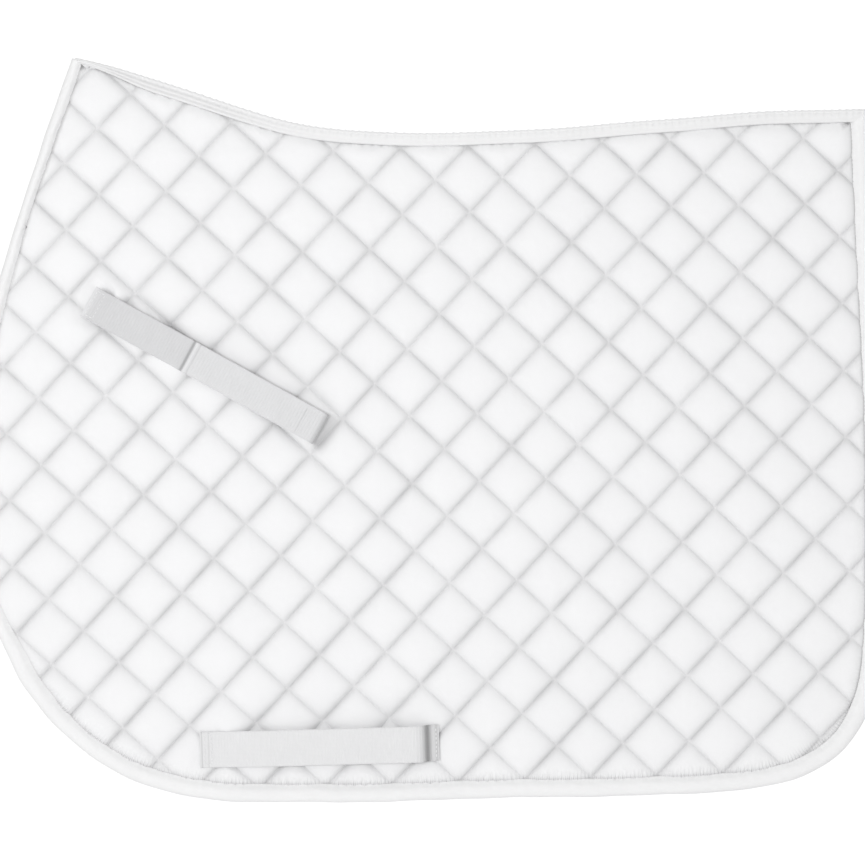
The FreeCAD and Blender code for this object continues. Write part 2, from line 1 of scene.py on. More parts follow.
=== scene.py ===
"""Quilted pad folded over a spine, with a billet strap and a girth strap on each side.

The fold lies in the centre plane y = 0, with the left panel towards -Y and the right panel
towards +Y. X runs from front (-) to rear (+) and Z is up. The pieces are worked out for the left
side in millimetres: x and z in the centre plane, and a height out from it. They are mirrored for
the right side.
"""
import bpy
import math
import numpy as np
from functools import cache, cached_property
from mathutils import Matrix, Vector
from types import SimpleNamespace


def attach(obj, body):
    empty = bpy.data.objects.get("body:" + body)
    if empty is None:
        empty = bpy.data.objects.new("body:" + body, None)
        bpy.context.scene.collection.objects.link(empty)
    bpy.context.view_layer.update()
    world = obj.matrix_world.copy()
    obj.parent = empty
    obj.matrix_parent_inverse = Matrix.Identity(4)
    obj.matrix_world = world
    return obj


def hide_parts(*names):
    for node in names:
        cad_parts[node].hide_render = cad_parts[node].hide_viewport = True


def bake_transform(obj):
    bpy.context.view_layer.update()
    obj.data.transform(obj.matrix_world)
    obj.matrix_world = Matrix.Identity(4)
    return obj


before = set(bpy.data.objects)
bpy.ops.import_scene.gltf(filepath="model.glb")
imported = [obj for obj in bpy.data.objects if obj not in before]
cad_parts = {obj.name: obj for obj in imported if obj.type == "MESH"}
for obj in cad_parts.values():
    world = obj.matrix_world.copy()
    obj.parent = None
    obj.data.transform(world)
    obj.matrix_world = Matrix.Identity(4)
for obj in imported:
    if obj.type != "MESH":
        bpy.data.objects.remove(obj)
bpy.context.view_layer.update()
MM = 0.001
TURN = 2 * math.pi
rng = np.random.default_rng(7)

# ------------------------------------------------------------------ outline
# Top edge in the centre plane, front peak to rear: (x, z).
TOP = [
    (-243.6, 53.2), (-234.5, 51.1), (-217.0, 46.9), (-199.5, 41.6), (-182.0, 36.4),
    (-164.5, 30.8), (-147.0, 24.5), (-129.5, 18.5), (-112.0, 13.3), (-94.5, 8.4), (-77.0, 4.9),
    (-59.5, 2.4), (-42.0, 1.0), (-24.5, 0.3), (-7.0, 0.0), (10.5, 0.0), (28.0, 0.3), (45.5, 0.7),
    (63.0, 1.4), (80.5, 2.4), (98.0, 3.5), (115.5, 4.9), (133.0, 6.3), (150.5, 7.7), (168.0, 9.1),
    (185.5, 10.5), (203.0, 12.2), (220.5, 13.6), (238.0, 14.7), (255.5, 15.4), (273.0, 16.1),
    (290.5, 16.4), (313.6, 16.8)]
# Bound edge from the front peak, down, along the bottom and up to the rear: (x, z).
EDGE = [
    (-243.6, 53.2), (-249.2, 37.8), (-254.1, 23.8), (-259.0, 9.8), (-263.6, -4.2),
    (-268.1, -18.2), (-273.0, -32.2), (-277.9, -46.2), (-282.1, -60.2), (-286.3, -74.2),
    (-290.5, -88.2), (-294.7, -102.2), (-298.2, -116.2), (-303.1, -140.7), (-308.0, -172.2),
    (-311.5, -200.2), (-313.6, -238.7), (-312.9, -270.2), (-309.4, -301.7), (-303.8, -326.2),
    (-294.0, -354.2), (-280.0, -383.6), (-259.0, -410.9), (-242.9, -426.3), (-225.4, -439.6),
    (-206.5, -450.1), (-189.0, -457.1), (-171.5, -462.0), (-154.0, -465.1), (-136.5, -466.9),
    (-119.0, -467.6), (-30.0, -467.6), (-14.0, -467.1), (3.5, -466.3), (21.0, -465.6),
    (38.5, -465.0), (56.0, -464.5), (91.0, -464.1), (126.0, -463.7), (161.0, -462.7),
    (196.0, -461.3), (213.5, -460.2), (231.0, -458.5), (248.5, -455.7), (266.0, -450.8),
    (283.5, -442.0), (294.0, -434.0), (301.0, -427.0), (308.0, -417.2), (312.2, -408.8),
    (317.1, -396.2), (320.6, -378.7), (323.4, -354.2), (324.4, -312.2), (324.4, -256.2),
    (324.1, -214.2), (322.7, -172.2), (319.9, -116.2), (317.1, -60.2), (315.0, -11.2),
    (313.6, 16.8)]


def run_length(points):
    """Arc length at each point of an open line."""
    return np.concatenate([[0], np.cumsum(np.linalg.norm(np.diff(points, axis=0), axis=1))])


def evenly(points, step):
    """Open line resampled at about this step."""
    points = np.asarray(points, float)
    run = run_length(points)
    count = max(2, int(round(run[-1] / step)) + 1)
    stations = np.linspace(0, run[-1], count)
    return np.stack([np.interp(stations, run, column) for column in points.T], 1)


def smoothed(points, step, sigma):
    """Open line rounded by a Gaussian, with its ends held."""
    line = evenly(points, 1.0)
    reach = int(sigma * 3)
    kernel = np.exp(-0.5 * (np.arange(-reach, reach + 1) / sigma) ** 2)
    kernel /= kernel.sum()
    before = 2 * line[0] - line[reach:0:-1]
    after = 2 * line[-1] - line[-2:-reach - 2:-1]
    padded = np.concatenate([before, line, after])
    soft = np.stack([np.convolve(padded[:, k], kernel, "valid") for k in (0, 1)], 1)
    soft[0], soft[-1] = line[0], line[-1]
    return evenly(soft, step)


def tangents(line):
    slope = np.gradient(line, axis=0)
    return slope / np.maximum(np.linalg.norm(slope, axis=1, keepdims=True), 1e-9)


def left_normals(line):
    along = tangents(line)
    return np.stack([-along[:, 1], along[:, 0]], 1)


def moved(line, distance):
    """Open line moved sideways, to the left of its run."""
    return line + distance * left_normals(line)


def arc(centre_x, centre_y, radius_x, radius_y, start, end, count):
    """Points on an ellipse between two angles in degrees."""
    angle = np.radians(np.linspace(start, end, count))
    return np.stack([centre_x + radius_x * np.cos(angle), centre_y + radius_y * np.sin(angle)], 1)


def smoothstep(value):
    value = np.clip(value, 0, 1)
    return value * value * (3 - 2 * value)


def bell(value, centre, width):
    return np.exp(-((value - centre) / width) ** 2)


def inside(points, polygon):
    following = np.roll(polygon, -1, 0)
    hit = np.zeros(len(points), bool)
    chunk = 20000
    for k in range(0, len(points), chunk):
        x, z = points[k:k + chunk, 0:1], points[k:k + chunk, 1:2]
        straddle = (polygon[:, 1] > z) != (following[:, 1] > z)
        with np.errstate(divide="ignore", invalid="ignore"):
            slope_run = (z - polygon[:, 1]) * (following[:, 0] - polygon[:, 0])
            crossing = polygon[:, 0] + slope_run / (following[:, 1] - polygon[:, 1])
        hit[k:k + chunk] = (straddle & (x < crossing)).sum(1) % 2 == 1
    return hit


def nearest(points, line):
    """Distance to an open line, and arc length at the nearest point."""
    start, span = line[:-1], line[1:] - line[:-1]
    squared = (span ** 2).sum(1)
    length = np.sqrt(squared)
    start_run = np.concatenate([[0], np.cumsum(length)[:-1]])
    distance, run = np.empty(len(points)), np.empty(len(points))
    chunk = 8000
    for k in range(0, len(points), chunk):
        spot = points[k:k + chunk, None, :]
        part = np.clip(((spot - start) * span).sum(2) / squared, 0, 1)
        gap = np.linalg.norm(spot - (start + part[..., None] * span), axis=2)
        best = gap.argmin(1)
        rows = np.arange(len(best))
        distance[k:k + chunk] = gap[rows, best]
        run[k:k + chunk] = start_run[best] + part[rows, best] * length[best]
    return distance, run


top_line = smoothed(TOP, 2.0, 9.0)
edge_line = smoothed(EDGE, 2.0, 7.0)
outline = np.concatenate([edge_line, top_line[::-1][1:-1]])


# ------------------------------------------------------------------ meshes
def mesh(name, verts, faces, material, attributes=None):
    """Smooth-shaded mesh object with point attributes."""
    data = bpy.data.meshes.new(name)
    verts = np.asarray(verts, np.float32)
    data.from_pydata(verts.tolist(), [], [list(map(int, face)) for face in faces])
    data.update()
    data.polygons.foreach_set("use_smooth", np.ones(len(data.polygons), bool))
    for key, values in (attributes or {}).items():
        attribute = data.attributes.new(key, "FLOAT", "POINT")
        attribute.data.foreach_set("value", np.asarray(values, np.float32))
    data.materials.append(material)
    obj = bpy.data.objects.new(name, data)
    bpy.context.scene.collection.objects.link(obj)
    return obj


def mirrored(verts, faces):
    return np.array(verts, float) * [1, -1, 1], [tuple(face)[::-1] for face in faces]


def join(parts):
    verts, faces, start = [], [], 0
    for part_verts, part_faces in parts:
        verts.append(part_verts)
        faces += [tuple(k + start for k in face) for face in part_faces]
        start += len(part_verts)
    return np.concatenate(verts), faces


def outward(verts, faces):
    """Faces of a closed mesh, reversed if it is inside out."""
    quads = np.array([face for face in faces if len(face) == 4])
    a, b, c, d = (verts[quads[:, k]] for k in range(4))
    volume = (a * np.cross(b, c)).sum() + (a * np.cross(c, d)).sum()
    for face in (face for face in faces if len(face) != 4):
        for k in range(1, len(face) - 1):
            volume += np.dot(verts[face[0]], np.cross(verts[face[k]], verts[face[k + 1]]))
    return faces if volume > 0 else [tuple(face)[::-1] for face in faces]


def add(name, geometry, material, side="left", attributes=None):
    """Closed piece from (verts, faces), mirrored if it is on the right."""
    verts, faces = geometry
    faces = outward(verts, faces)
    if side == "right":
        verts, faces = mirrored(verts, faces)
    return mesh(name, verts, faces, material, attributes)


def sweep(rings):
    """Closed tube through K rings of M points, with flat caps."""
    count, around, _ = rings.shape
    ring = np.arange(count - 1)[:, None] * around
    here = np.arange(around)[None, :]
    after = (here + 1) % around
    corners = [ring + here, ring + after, ring + around + after, ring + around + here]
    faces = [tuple(quad) for quad in np.stack(corners, -1).reshape(-1, 4).tolist()]
    faces.append(tuple(range(around))[::-1])
    faces.append(tuple(range((count - 1) * around, count * around)))
    return rings.reshape(-1, 3), faces


def beads(points, along, up, length, radius, sides=6):
    """Stitches: short rounded rods centred on points in mm."""
    # (place along the rod as a share of its length, share of its radius)
    if sides > 4:
        profile = [(-0.5, 0.35), (-0.38, 0.85), (0.0, 1.0), (0.38, 0.85), (0.5, 0.35)]
    else:
        profile = [(-0.5, 0.35), (-0.3, 0.95), (0.3, 0.95), (0.5, 0.35)]
    points, length, radius = points * MM, length * MM, radius * MM
    across = np.cross(along, up)
    across /= np.maximum(np.linalg.norm(across, axis=1, keepdims=True), 1e-9)
    corners = []
    for place, girth in profile:
        sink = 0.25 * radius * abs(place) * 2
        for angle in np.linspace(0, 2 * np.pi, sides, endpoint=False):
            sideways = across * (math.cos(angle) * girth * radius)
            rise = up * (math.sin(angle) * girth * radius * 0.8 - sink)
            corners.append(points + (along * (place * length) + sideways + rise))
    size = len(profile) * sides
    walls = []
    for k in range(len(profile) - 1):
        for here in range(sides):
            after = (here + 1) % sides
            walls.append((k * sides + here, k * sides + after,
                          (k + 1) * sides + after, (k + 1) * sides + here))
    starts = np.arange(len(points)) * size
    faces = (np.array(walls)[None] + starts[:, None, None]).reshape(-1, 4).tolist()
    for cap in (range(sides)[::-1], range(size - sides, size)):
        faces += (np.array(cap)[None] + starts[:, None]).tolist()
    return np.stack(corners, 1).reshape(-1, 3), [tuple(face) for face in faces]


def facing(direction, count):
    """The Y direction, repeated for each stitch."""
    return np.tile([[0, float(direction), 0]], (count, 1))


# ------------------------------------------------------------------ material nodes
class Shader:
    """A material's node tree, with a short call for each kind of node."""

    def __init__(self, name):
        self.material = bpy.data.materials.new(name)
        self.material.use_nodes = True
        self.tree = self.material.node_tree
        self.tree.nodes.clear()
        self.output = self.node("OutputMaterial").inputs[0]
        self.bsdf = self.node("BsdfPrincipled")
        self.link(self.bsdf.outputs[0], self.output)

    def node(self, kind):
        return self.tree.nodes.new("ShaderNode" + kind)

    def link(self, source, target):
        self.tree.links.new(source, target)

    def feed(self, target, value):
        if isinstance(value, (int, float)):
            target.default_value = value
        else:
            self.link(value, target)

    def set(self, **values):
        """Principled inputs, with underscores for the spaces in their names."""
        for key, value in values.items():
            self.bsdf.inputs[key.replace("_", " ")].default_value = value

    @cached_property
    def position(self):
        return self.node("TexCoord").outputs["Object"]

    @cached_property
    def axes(self):
        node = self.node("SeparateXYZ")
        self.link(self.position, node.inputs[0])
        return node.outputs

    @cache
    def attribute(self, name):
        node = self.node("Attribute")
        node.attribute_name = name
        return node.outputs["Fac"]

    def noise(self, scale, detail=2.0, roughness=0.5):
        node = self.node("TexNoise")
        node.inputs["Scale"].default_value = scale
        node.inputs["Detail"].default_value = detail
        node.inputs["Roughness"].default_value = roughness
        self.link(self.position, node.inputs["Vector"])
        return node.outputs["Fac"]

    def math(self, operation, first, second=0.0):
        node = self.node("Math")
        node.operation = operation
        self.feed(node.inputs[0], first)
        self.feed(node.inputs[1], second)
        return node.outputs[0]

    def add(self, first, second):
        return self.math("ADD", first, second)

    def sub(self, first, second):
        return self.math("SUBTRACT", first, second)

    def mul(self, first, second):
        return self.math("MULTIPLY", first, second)

    def sin(self, value):
        return self.math("SINE", value)

    def exp(self, value):
        return self.math("POWER", 2.718, value)

    def clamp(self, value, low=0.0):
        return self.math("MINIMUM", self.math("MAXIMUM", value, low), 1.0)

    def off_whole(self, value):
        """Distance to the nearest whole number, which is the nearest quilting seam."""
        return self.math("ABSOLUTE", self.sub(value, self.math("ROUND", value)))

    def band(self, value, centre, width, depth):
        """1 away from the centre line, 1 - depth on it."""
        off = self.math("DIVIDE", self.sub(value, centre), width)
        glow = self.exp(self.mul(self.mul(off, off), -1.0))
        return self.sub(1.0, self.mul(glow, depth))

    def mix(self, factor, first, second):
        node = self.node("Mix")
        node.data_type = "RGBA"
        self.feed(node.inputs["Factor"], factor)
        node.inputs[6].default_value = (*first, 1)
        node.inputs[7].default_value = (*second, 1)
        return node.outputs[2]

    def scaled(self, colour, factor):
        node = self.node("VectorMath")
        node.operation = "SCALE"
        self.link(colour, node.inputs[0])
        self.feed(node.inputs["Scale"], factor)
        return node.outputs[0]

    def bump(self, height, distance):
        node = self.node("Bump")
        node.inputs["Strength"].default_value = 1.0
        node.inputs["Distance"].default_value = distance
        self.link(height, node.inputs["Height"])
        self.link(node.outputs[0], self.bsdf.inputs["Normal"])


# ------------------------------------------------------------------ cloth materials
def quilt_relief(sh, height):
    """Adds gathers along the edge seam and across the quilting lines, then loose creases."""
    z = sh.axes[2]
    edge_run, edge_in = sh.attribute("edge_run"), sh.attribute("edge_in")
    seam_i, seam_j = sh.attribute("quilt_i"), sh.attribute("quilt_j")
    gather_pitch, seam_at = 2.7, 12.6      # mm
    wobble = sh.mul(sh.noise(90), 9.0)
    gather = sh.sin(sh.add(sh.mul(edge_run, TURN / gather_pitch), wobble))
    past_seam = sh.math("MAXIMUM", sh.sub(edge_in, seam_at), 0.0)
    fall = sh.exp(sh.mul(past_seam, -0.34))
    # full strength at the bottom of the pad, a fifth of it above
    low = sh.add(sh.mul(sh.clamp(sh.mul(sh.sub(-0.36, z), 25.0)), 0.8), 0.2)
    height = sh.add(height, sh.mul(sh.mul(gather, fall), sh.mul(low, 7.5)))
    for across, along in ((seam_i, seam_j), (seam_j, seam_i)):
        near = sh.exp(sh.mul(sh.off_whole(across), -15.0))
        # six gathers to a diamond, in patches
        gather = sh.sin(sh.add(sh.mul(along, TURN * 6.0), sh.mul(sh.noise(55), 12.0)))
        patch = sh.math("POWER", sh.noise(48, detail=1), 1.6)
        height = sh.add(height, sh.mul(sh.mul(sh.mul(near, gather), patch), 2.6))
    height = sh.add(height, sh.mul(sh.noise(90, detail=4, roughness=0.55), 9.0))
    return sh.add(height, sh.mul(sh.noise(44), 7.0))


def seam_grey(sh, top, bottom):
    """Depth of the painted seam shade for a set of seams, from the top of the pad to its bottom.
    """
    down = sh.clamp(sh.mul(sh.sub(-0.12, sh.axes[2]), 1 / 0.26))
    return sh.add(top, sh.mul(down, bottom - top))


def quilt_shade(sh, colour):
    """Painted shade: greys the cloth colour in the seam grooves and beside the binding, and lays
    the painted shadow beyond the billet's folded end.
    """
    edge_run, edge_in = sh.attribute("edge_run"), sh.attribute("edge_in")
    seam_i, seam_j = sh.attribute("quilt_i"), sh.attribute("quilt_j")
    patchy = sh.add(sh.mul(sh.noise(34), 1.5), 0.2)
    shade = 1.0
    # painted shade along the quilting seams, where shade falls in the grooves
    for across, along, depth in ((seam_i, seam_j, seam_grey(sh, top=0.20, bottom=0.13)),
                                 (seam_j, seam_i, seam_grey(sh, top=0.19, bottom=0.25))):
        off_seam = sh.off_whole(across)
        # less of the painted shade where two seams cross and the cloth is pinned flat
        crossing = sh.mul(sh.off_whole(along), 6.0)
        crossing = sh.math("MINIMUM", sh.add(crossing, 0.5), 1.0)
        depth = sh.mul(depth, crossing)
        grey = sh.mul(sh.mul(sh.exp(sh.mul(off_seam, -13.75)), depth), patchy)
        shade = sh.mul(sh.sub(1.0, grey), shade)
    # painted shade: a dark line in the groove beside the binding, deeper at the rear edge
    off_binding = sh.mul(sh.math("ABSOLUTE", sh.sub(edge_in, 13.0)), -1.1)
    rear = sh.clamp(sh.mul(sh.sub(sh.axes[0], 0.285), 60.0))
    deep = sh.add(sh.mul(rear, 0.27), 0.15)
    shade = sh.mul(shade, sh.sub(1.0, sh.mul(sh.exp(off_binding), deep)))
    # painted shadow of the billet's raised folded end, laid on the cloth beyond it
    shade = sh.mul(shade, sh.sub(1.0, sh.mul(sh.attribute("painted_end_shadow"), 0.26)))
    # painted shadow: a dark band along the binding's inner edge down the front edge
    front = sh.clamp(sh.mul(sh.sub(300.0, edge_run), 1 / 220.0))
    shade = sh.mul(shade, sh.band(edge_in, centre=13.8, width=2.3, depth=sh.mul(front, 0.24)))
    return sh.scaled(colour, shade)


def row_shade(sh, colour):
    """Darkens the spine tape's rows of stitching, most towards the front, and pales its rim."""
    inset = sh.attribute("tape_in")
    front = sh.clamp(sh.mul(sh.sub(-0.06, sh.axes[0]), 12.0), low=0.12)
    dash = sh.add(sh.mul(sh.noise(260), 1.1), 0.25)
    depth = sh.mul(sh.mul(front, dash), 0.14)
    rows = sh.mul(sh.band(inset, centre=2.8, width=0.75, depth=depth),
                  sh.band(inset, centre=5.6, width=0.7, depth=depth))
    colour = sh.scaled(colour, rows)
    rim = sh.clamp(sh.sub(1.7, inset))
    return sh.scaled(colour, sh.add(1.0, sh.mul(rim, 0.13)))


def cloth_material(name, light, dark, pitch, depth, sheen, rough=0.85, relief=None, shading=None):
    """Plain-weave cloth; pitch is in mm and depth, the bump distance, in metres."""
    sh = Shader(name)
    fine = sh.noise(900, detail=3, roughness=0.6)
    broad = sh.noise(22, detail=3, roughness=0.55)
    waves = TURN / (pitch * MM)
    weave = sh.mul(sh.sin(sh.mul(sh.axes[0], waves)), sh.sin(sh.mul(sh.axes[2], waves)))
    height = sh.add(sh.mul(weave, 0.5), sh.mul(fine, 1.2))
    if relief:
        height = relief(sh, height)
    sh.bump(height, depth)
    colour = sh.mix(sh.add(sh.mul(broad, 0.7), sh.mul(fine, 0.3)), dark, light)
    if shading:
        colour = shading(sh, colour)
    sh.link(colour, sh.bsdf.inputs["Base Color"])
    sh.set(Roughness=rough, Specular_IOR_Level=0.25, Sheen_Weight=sheen, Sheen_Roughness=0.5)
    return sh.material


def webbing_material(name, light, dark, marks=()):
    """Ribbed webbing; marks are bands of painted shade across its run, and a negative darkening
    paints a highlight.
    """
    rib_pitch, warp_pitch = 1.1, 0.9       # mm
    sh = Shader(name)
    run = sh.attribute("run")
    rib = sh.sin(sh.mul(run, TURN / rib_pitch))
    warp = sh.sin(sh.mul(sh.attribute("across"), TURN / warp_pitch))
    fine = sh.noise(1400, detail=3, roughness=0.6)
    sh.bump(sh.add(sh.add(sh.mul(rib, 0.8), sh.mul(warp, 0.6)), sh.mul(fine, 1.5)), 0.00006)
    stripes = sh.mul(sh.add(sh.mul(warp, 0.5), 0.5), 0.45)
    colour = sh.mix(sh.add(sh.mul(sh.noise(70, detail=3), 0.55), stripes), dark, light)
    for centre, width, depth in marks:
        colour = sh.scaled(colour, sh.band(run, centre, width, depth))
    sh.link(colour, sh.bsdf.inputs["Base Color"])
    sh.set(Roughness=0.7, Specular_IOR_Level=0.3, Sheen_Weight=0.2)
    return sh.material


FACE = cloth_material("face_cloth", light=(0.90, 0.90, 0.905), dark=(0.855, 0.855, 0.865),
                      pitch=1.1, depth=0.00006, sheen=0.25,
                      relief=quilt_relief, shading=quilt_shade)
BINDING = cloth_material("binding_tape", light=(0.895, 0.895, 0.895), dark=(0.83, 0.83, 0.835),
                         pitch=0.9, depth=0.00005, sheen=0.25)
SPINE_TAPE = cloth_material("spine_tape", light=(0.855, 0.855, 0.855), dark=(0.80, 0.80, 0.805),
                            pitch=0.9, depth=0.00005, sheen=0.2, shading=row_shade)
BILLET_LIGHT, BILLET_DARK = (0.755, 0.755, 0.765), (0.675, 0.675, 0.685)
# name, light, dark, marks; a mark is (place along the run in mm, width in mm, darkening)
WEBBINGS = [
    ("webbing", (0.86, 0.86, 0.865), (0.79, 0.79, 0.80), ()),
    ("billet_webbing", BILLET_LIGHT, BILLET_DARK, ()),
    # painted shade on the rounded end of the fold, which turns away from the light
    ("billet_webbing_fold", BILLET_LIGHT, BILLET_DARK, ((15.0, 2.6, 0.34),)),
    # painted highlight on the tail's bevelled cut end, and a painted shade line beside it
    ("billet_webbing_tail", BILLET_LIGHT, BILLET_DARK, ((88.7, 0.9, -0.13), (86.0, 0.5, 0.14))),
    # a darker copy of the billet webbing, painted shade on the single front layer; its marks are
    # the painted shadow under the tail's cut end and a painted highlight on the sewn end where it
    # rises towards the light
    ("billet_webbing_front", (0.70, 0.70, 0.71), (0.625, 0.625, 0.635),
     ((80.6, 1.1, 0.34), (0.0, 3.2, -0.13))),
    # the first mark is painted shade on the steep descent at the girth's right end
    ("girth_webbing", (0.81, 0.81, 0.815), (0.74, 0.74, 0.75),
     ((162.2, 4.1, 0.6), (170.6, 1.4, 0.24), (1.4, 0.5, 0.2), (6.2, 0.6, 0.12))),
]
webbings = {row[0]: webbing_material(*row) for row in WEBBINGS}
THREAD = cloth_material("thread", light=(0.88, 0.88, 0.885), dark=(0.78, 0.78, 0.79),
                        pitch=0.4, depth=0.00004, sheen=0.1, rough=0.6)
HOOK = cloth_material("hook_tape", light=(0.80, 0.80, 0.80), dark=(0.55, 0.55, 0.56),
                      pitch=1.5, depth=0.0004, sheen=0.0, rough=0.5)
LOOP = cloth_material("loop_tape", light=(0.86, 0.86, 0.86), dark=(0.70, 0.70, 0.71),
                      pitch=0.8, depth=0.0003, sheen=0.6, rough=1.0)

# ------------------------------------------------------------------ quilting lattice
# Seams lie where i or j is whole. Each term (a, b): (for i, for j) multiplies u^a v^b, with u and
# v the place on the panel as quilt_index scales it.
QUILT = {(0, 0): (-7.8958, -0.4579), (0, 1): (-5.69, 5.2637), (0, 2): (-0.0422, -0.024),
         (0, 3): (-0.0489, 0.0615), (1, 0): (6.177, 6.6451), (1, 1): (0.0476, 0.0428),
         (1, 2): (0.0606, 0.043), (2, 0): (0.0692, -0.0342), (2, 1): (-0.0271, 0.0463),
         (3, 0): (0.0177, 0.0046)}
QUILT_SCALE = (302.4, 259.0)               # mm along x and down z for one unit of u and v
QUILT_SHIFT = (0.027778, 0.8)              # in units of u and v
DIAMOND = 33.0                             # nominal side of a diamond
SPLITS = 12                                # quads along a diamond's side
LATTICE_REACH = 25 * SPLITS
# Places of the splits along a diamond's side, level and closed up towards the seams.
EVEN = np.arange(SPLITS) / SPLITS
CLOSE = np.array([0, 0.022, 0.06, 0.13, 0.235, 0.36, 0.5, 0.64, 0.765, 0.87, 0.94, 0.978])

SEAM_OUT = 7.2                             # height of the seams on the outer face
SEAM_IN = 4.6                              # their height on the lining
DOME = 2.35                                # rise of the wadding over each diamond
STEP = 2.6                                 # steep part of the rise, right beside the thread
BAND = 12.0                                # full width of the edge binding
RIM = 2.6                                  # inset of the panel's rim under the tapes

BILLET = SimpleNamespace(x=-232.4, z=-116.9, angle=28.9)      # degrees below the X axis
GIRTH = SimpleNamespace(x=-154.0, z=-431.2, angle=-1.8)

cell_random = rng.random((128, 128))
rng.random(64)                             # unused; holds the number of draws


def quilt_index(x, z):
    u = x / QUILT_SCALE[0] - QUILT_SHIFT[0]
    v = -z / QUILT_SCALE[1] - QUILT_SHIFT[1]
    return [sum(term[k] * u ** a * v ** b for (a, b), term in QUILT.items()) for k in (0, 1)]


def quilt_point(i, j):
    """Place of a lattice index, by Newton's method from the middle of the panel."""
    x, z = np.zeros_like(i) + 0.0, np.zeros_like(i) - 210.0
    for _ in range(14):
        i_here, j_here = quilt_index(x, z)
        i_right, j_right = quilt_index(x + 0.5, z)
        i_above, j_above = quilt_index(x, z + 0.5)
        i_by_x, i_by_z = (i_right - i_here) * 2, (i_above - i_here) * 2
        j_by_x, j_by_z = (j_right - j_here) * 2, (j_above - j_here) * 2
        determinant = i_by_x * j_by_z - i_by_z * j_by_x
        i_off, j_off = i - i_here, j - j_here
        x = np.clip(x + (j_by_z * i_off - i_by_z * j_off) / determinant, -900, 900)
        z = np.clip(z + (i_by_x * j_off - j_by_x * i_off) / determinant, -1100, 700)
    return x, z


def band_scale(run):
    """Showing width of the edge binding over its full width: narrower down the front edge."""
    ripple = 0.04 * np.sin(run / 21.0) * smoothstep((340.0 - run) / 60.0)
    return 0.56 + ripple + 0.39 * smoothstep((run - 385.0) / 60.0)


def tape_scale(run):
    """Showing width of the spine tape over its full width, from the front peak backwards."""
    return 0.34 + 0.66 * smoothstep(run / 62.0)


def panel_grid(spacing):
    """Lattice points and quads on the panel, with each diamond split at the given spacing."""
    steps = np.arange(-LATTICE_REACH, LATTICE_REACH + 1)
    i, j = np.meshgrid(steps, steps, indexing="ij")
    x, z = quilt_point(i // SPLITS + spacing[i % SPLITS], j // SPLITS + spacing[j % SPLITS])
    near = (x > -330) & (x < 340) & (z > -480) & (z < 60)
    points = np.stack([x[near], z[near]], 1)
    edge_in, edge_run = nearest(points, edge_line)
    top_in, top_run = nearest(points, top_line)
    kept = np.zeros(i.shape, bool)
    kept[near] = (inside(points, outline) & (edge_in > RIM)
                  & (top_in > RIM * tape_scale(top_run) - 0.3))
    edge_in = edge_in / band_scale(edge_run)

    quad = kept[:-1, :-1] & kept[1:, :-1] & kept[1:, 1:] & kept[:-1, 1:]
    used = np.zeros(i.shape, bool)
    for a in (0, 1):
        for b in (0, 1):
            used[a:a + quad.shape[0], b:b + quad.shape[1]] |= quad
    number = -np.ones(i.shape, int)
    number[used] = np.arange(used.sum())
    a, b = np.nonzero(quad)
    corners = [number[a, b], number[a + 1, b], number[a + 1, b + 1], number[a, b + 1]]

    g = SimpleNamespace(x=x[used], z=z[used], i=i[used], j=j[used], quads=np.stack(corners, 1))
    pick = used[near]
    g.edge_in, g.edge_run = edge_in[pick], edge_run[pick]
    g.top_in, g.top_run = top_in[pick], top_run[pick]
    g.cell_i, g.cell_j = g.i // SPLITS, g.j // SPLITS
    g.part_i, g.part_j = spacing[g.i % SPLITS], spacing[g.j % SPLITS]
    g.seam_i, g.seam_j = g.i % SPLITS == 0, g.j % SPLITS == 0
    g.random = cell_random[g.cell_i % 128, g.cell_j % 128]
    g.under = (g.edge_in < BAND - 0.2) | (g.top_in < 6.4 * tape_scale(g.top_run))
    pillow = (np.sin(np.pi * g.part_i) * np.sin(np.pi * g.part_j)) ** 0.62
    g.puff = (4.4 + 0.7 * (g.random - 0.5)) * pillow
    return g


grid = panel_grid(CLOSE)
point_count = len(grid.x)
tape_shown = 6.9 * tape_scale(grid.top_run)


# ------------------------------------------------------------------ quilted surface
def carried(source, values):
    """Values known on an evenly split grid, read off at the panel's own points."""
    size = 2 * LATTICE_REACH + 1
    field, known = np.zeros((size, size)), np.zeros((size, size))
    spot = source.i + LATTICE_REACH, source.j + LATTICE_REACH
    field[spot] = values
    known[spot] = 1
    u = grid.cell_i * SPLITS + grid.part_i * SPLITS + LATTICE_REACH
    v = grid.cell_j * SPLITS + grid.part_j * SPLITS + LATTICE_REACH
    row, column = np.floor(u + 1e-9).astype(int), np.floor(v + 1e-9).astype(int)
    total, weight = np.zeros(point_count), np.full(point_count, 1e-9)
    for a in (0, 1):
        for b in (0, 1):
            share = (1 - np.abs(u - row - a)) * (1 - np.abs(v - column - b))
            at = np.minimum(row + a, size - 1), np.minimum(column + b, size - 1)
            total += share * field[at] * known[at]
            weight += share * known[at]
    return total / weight


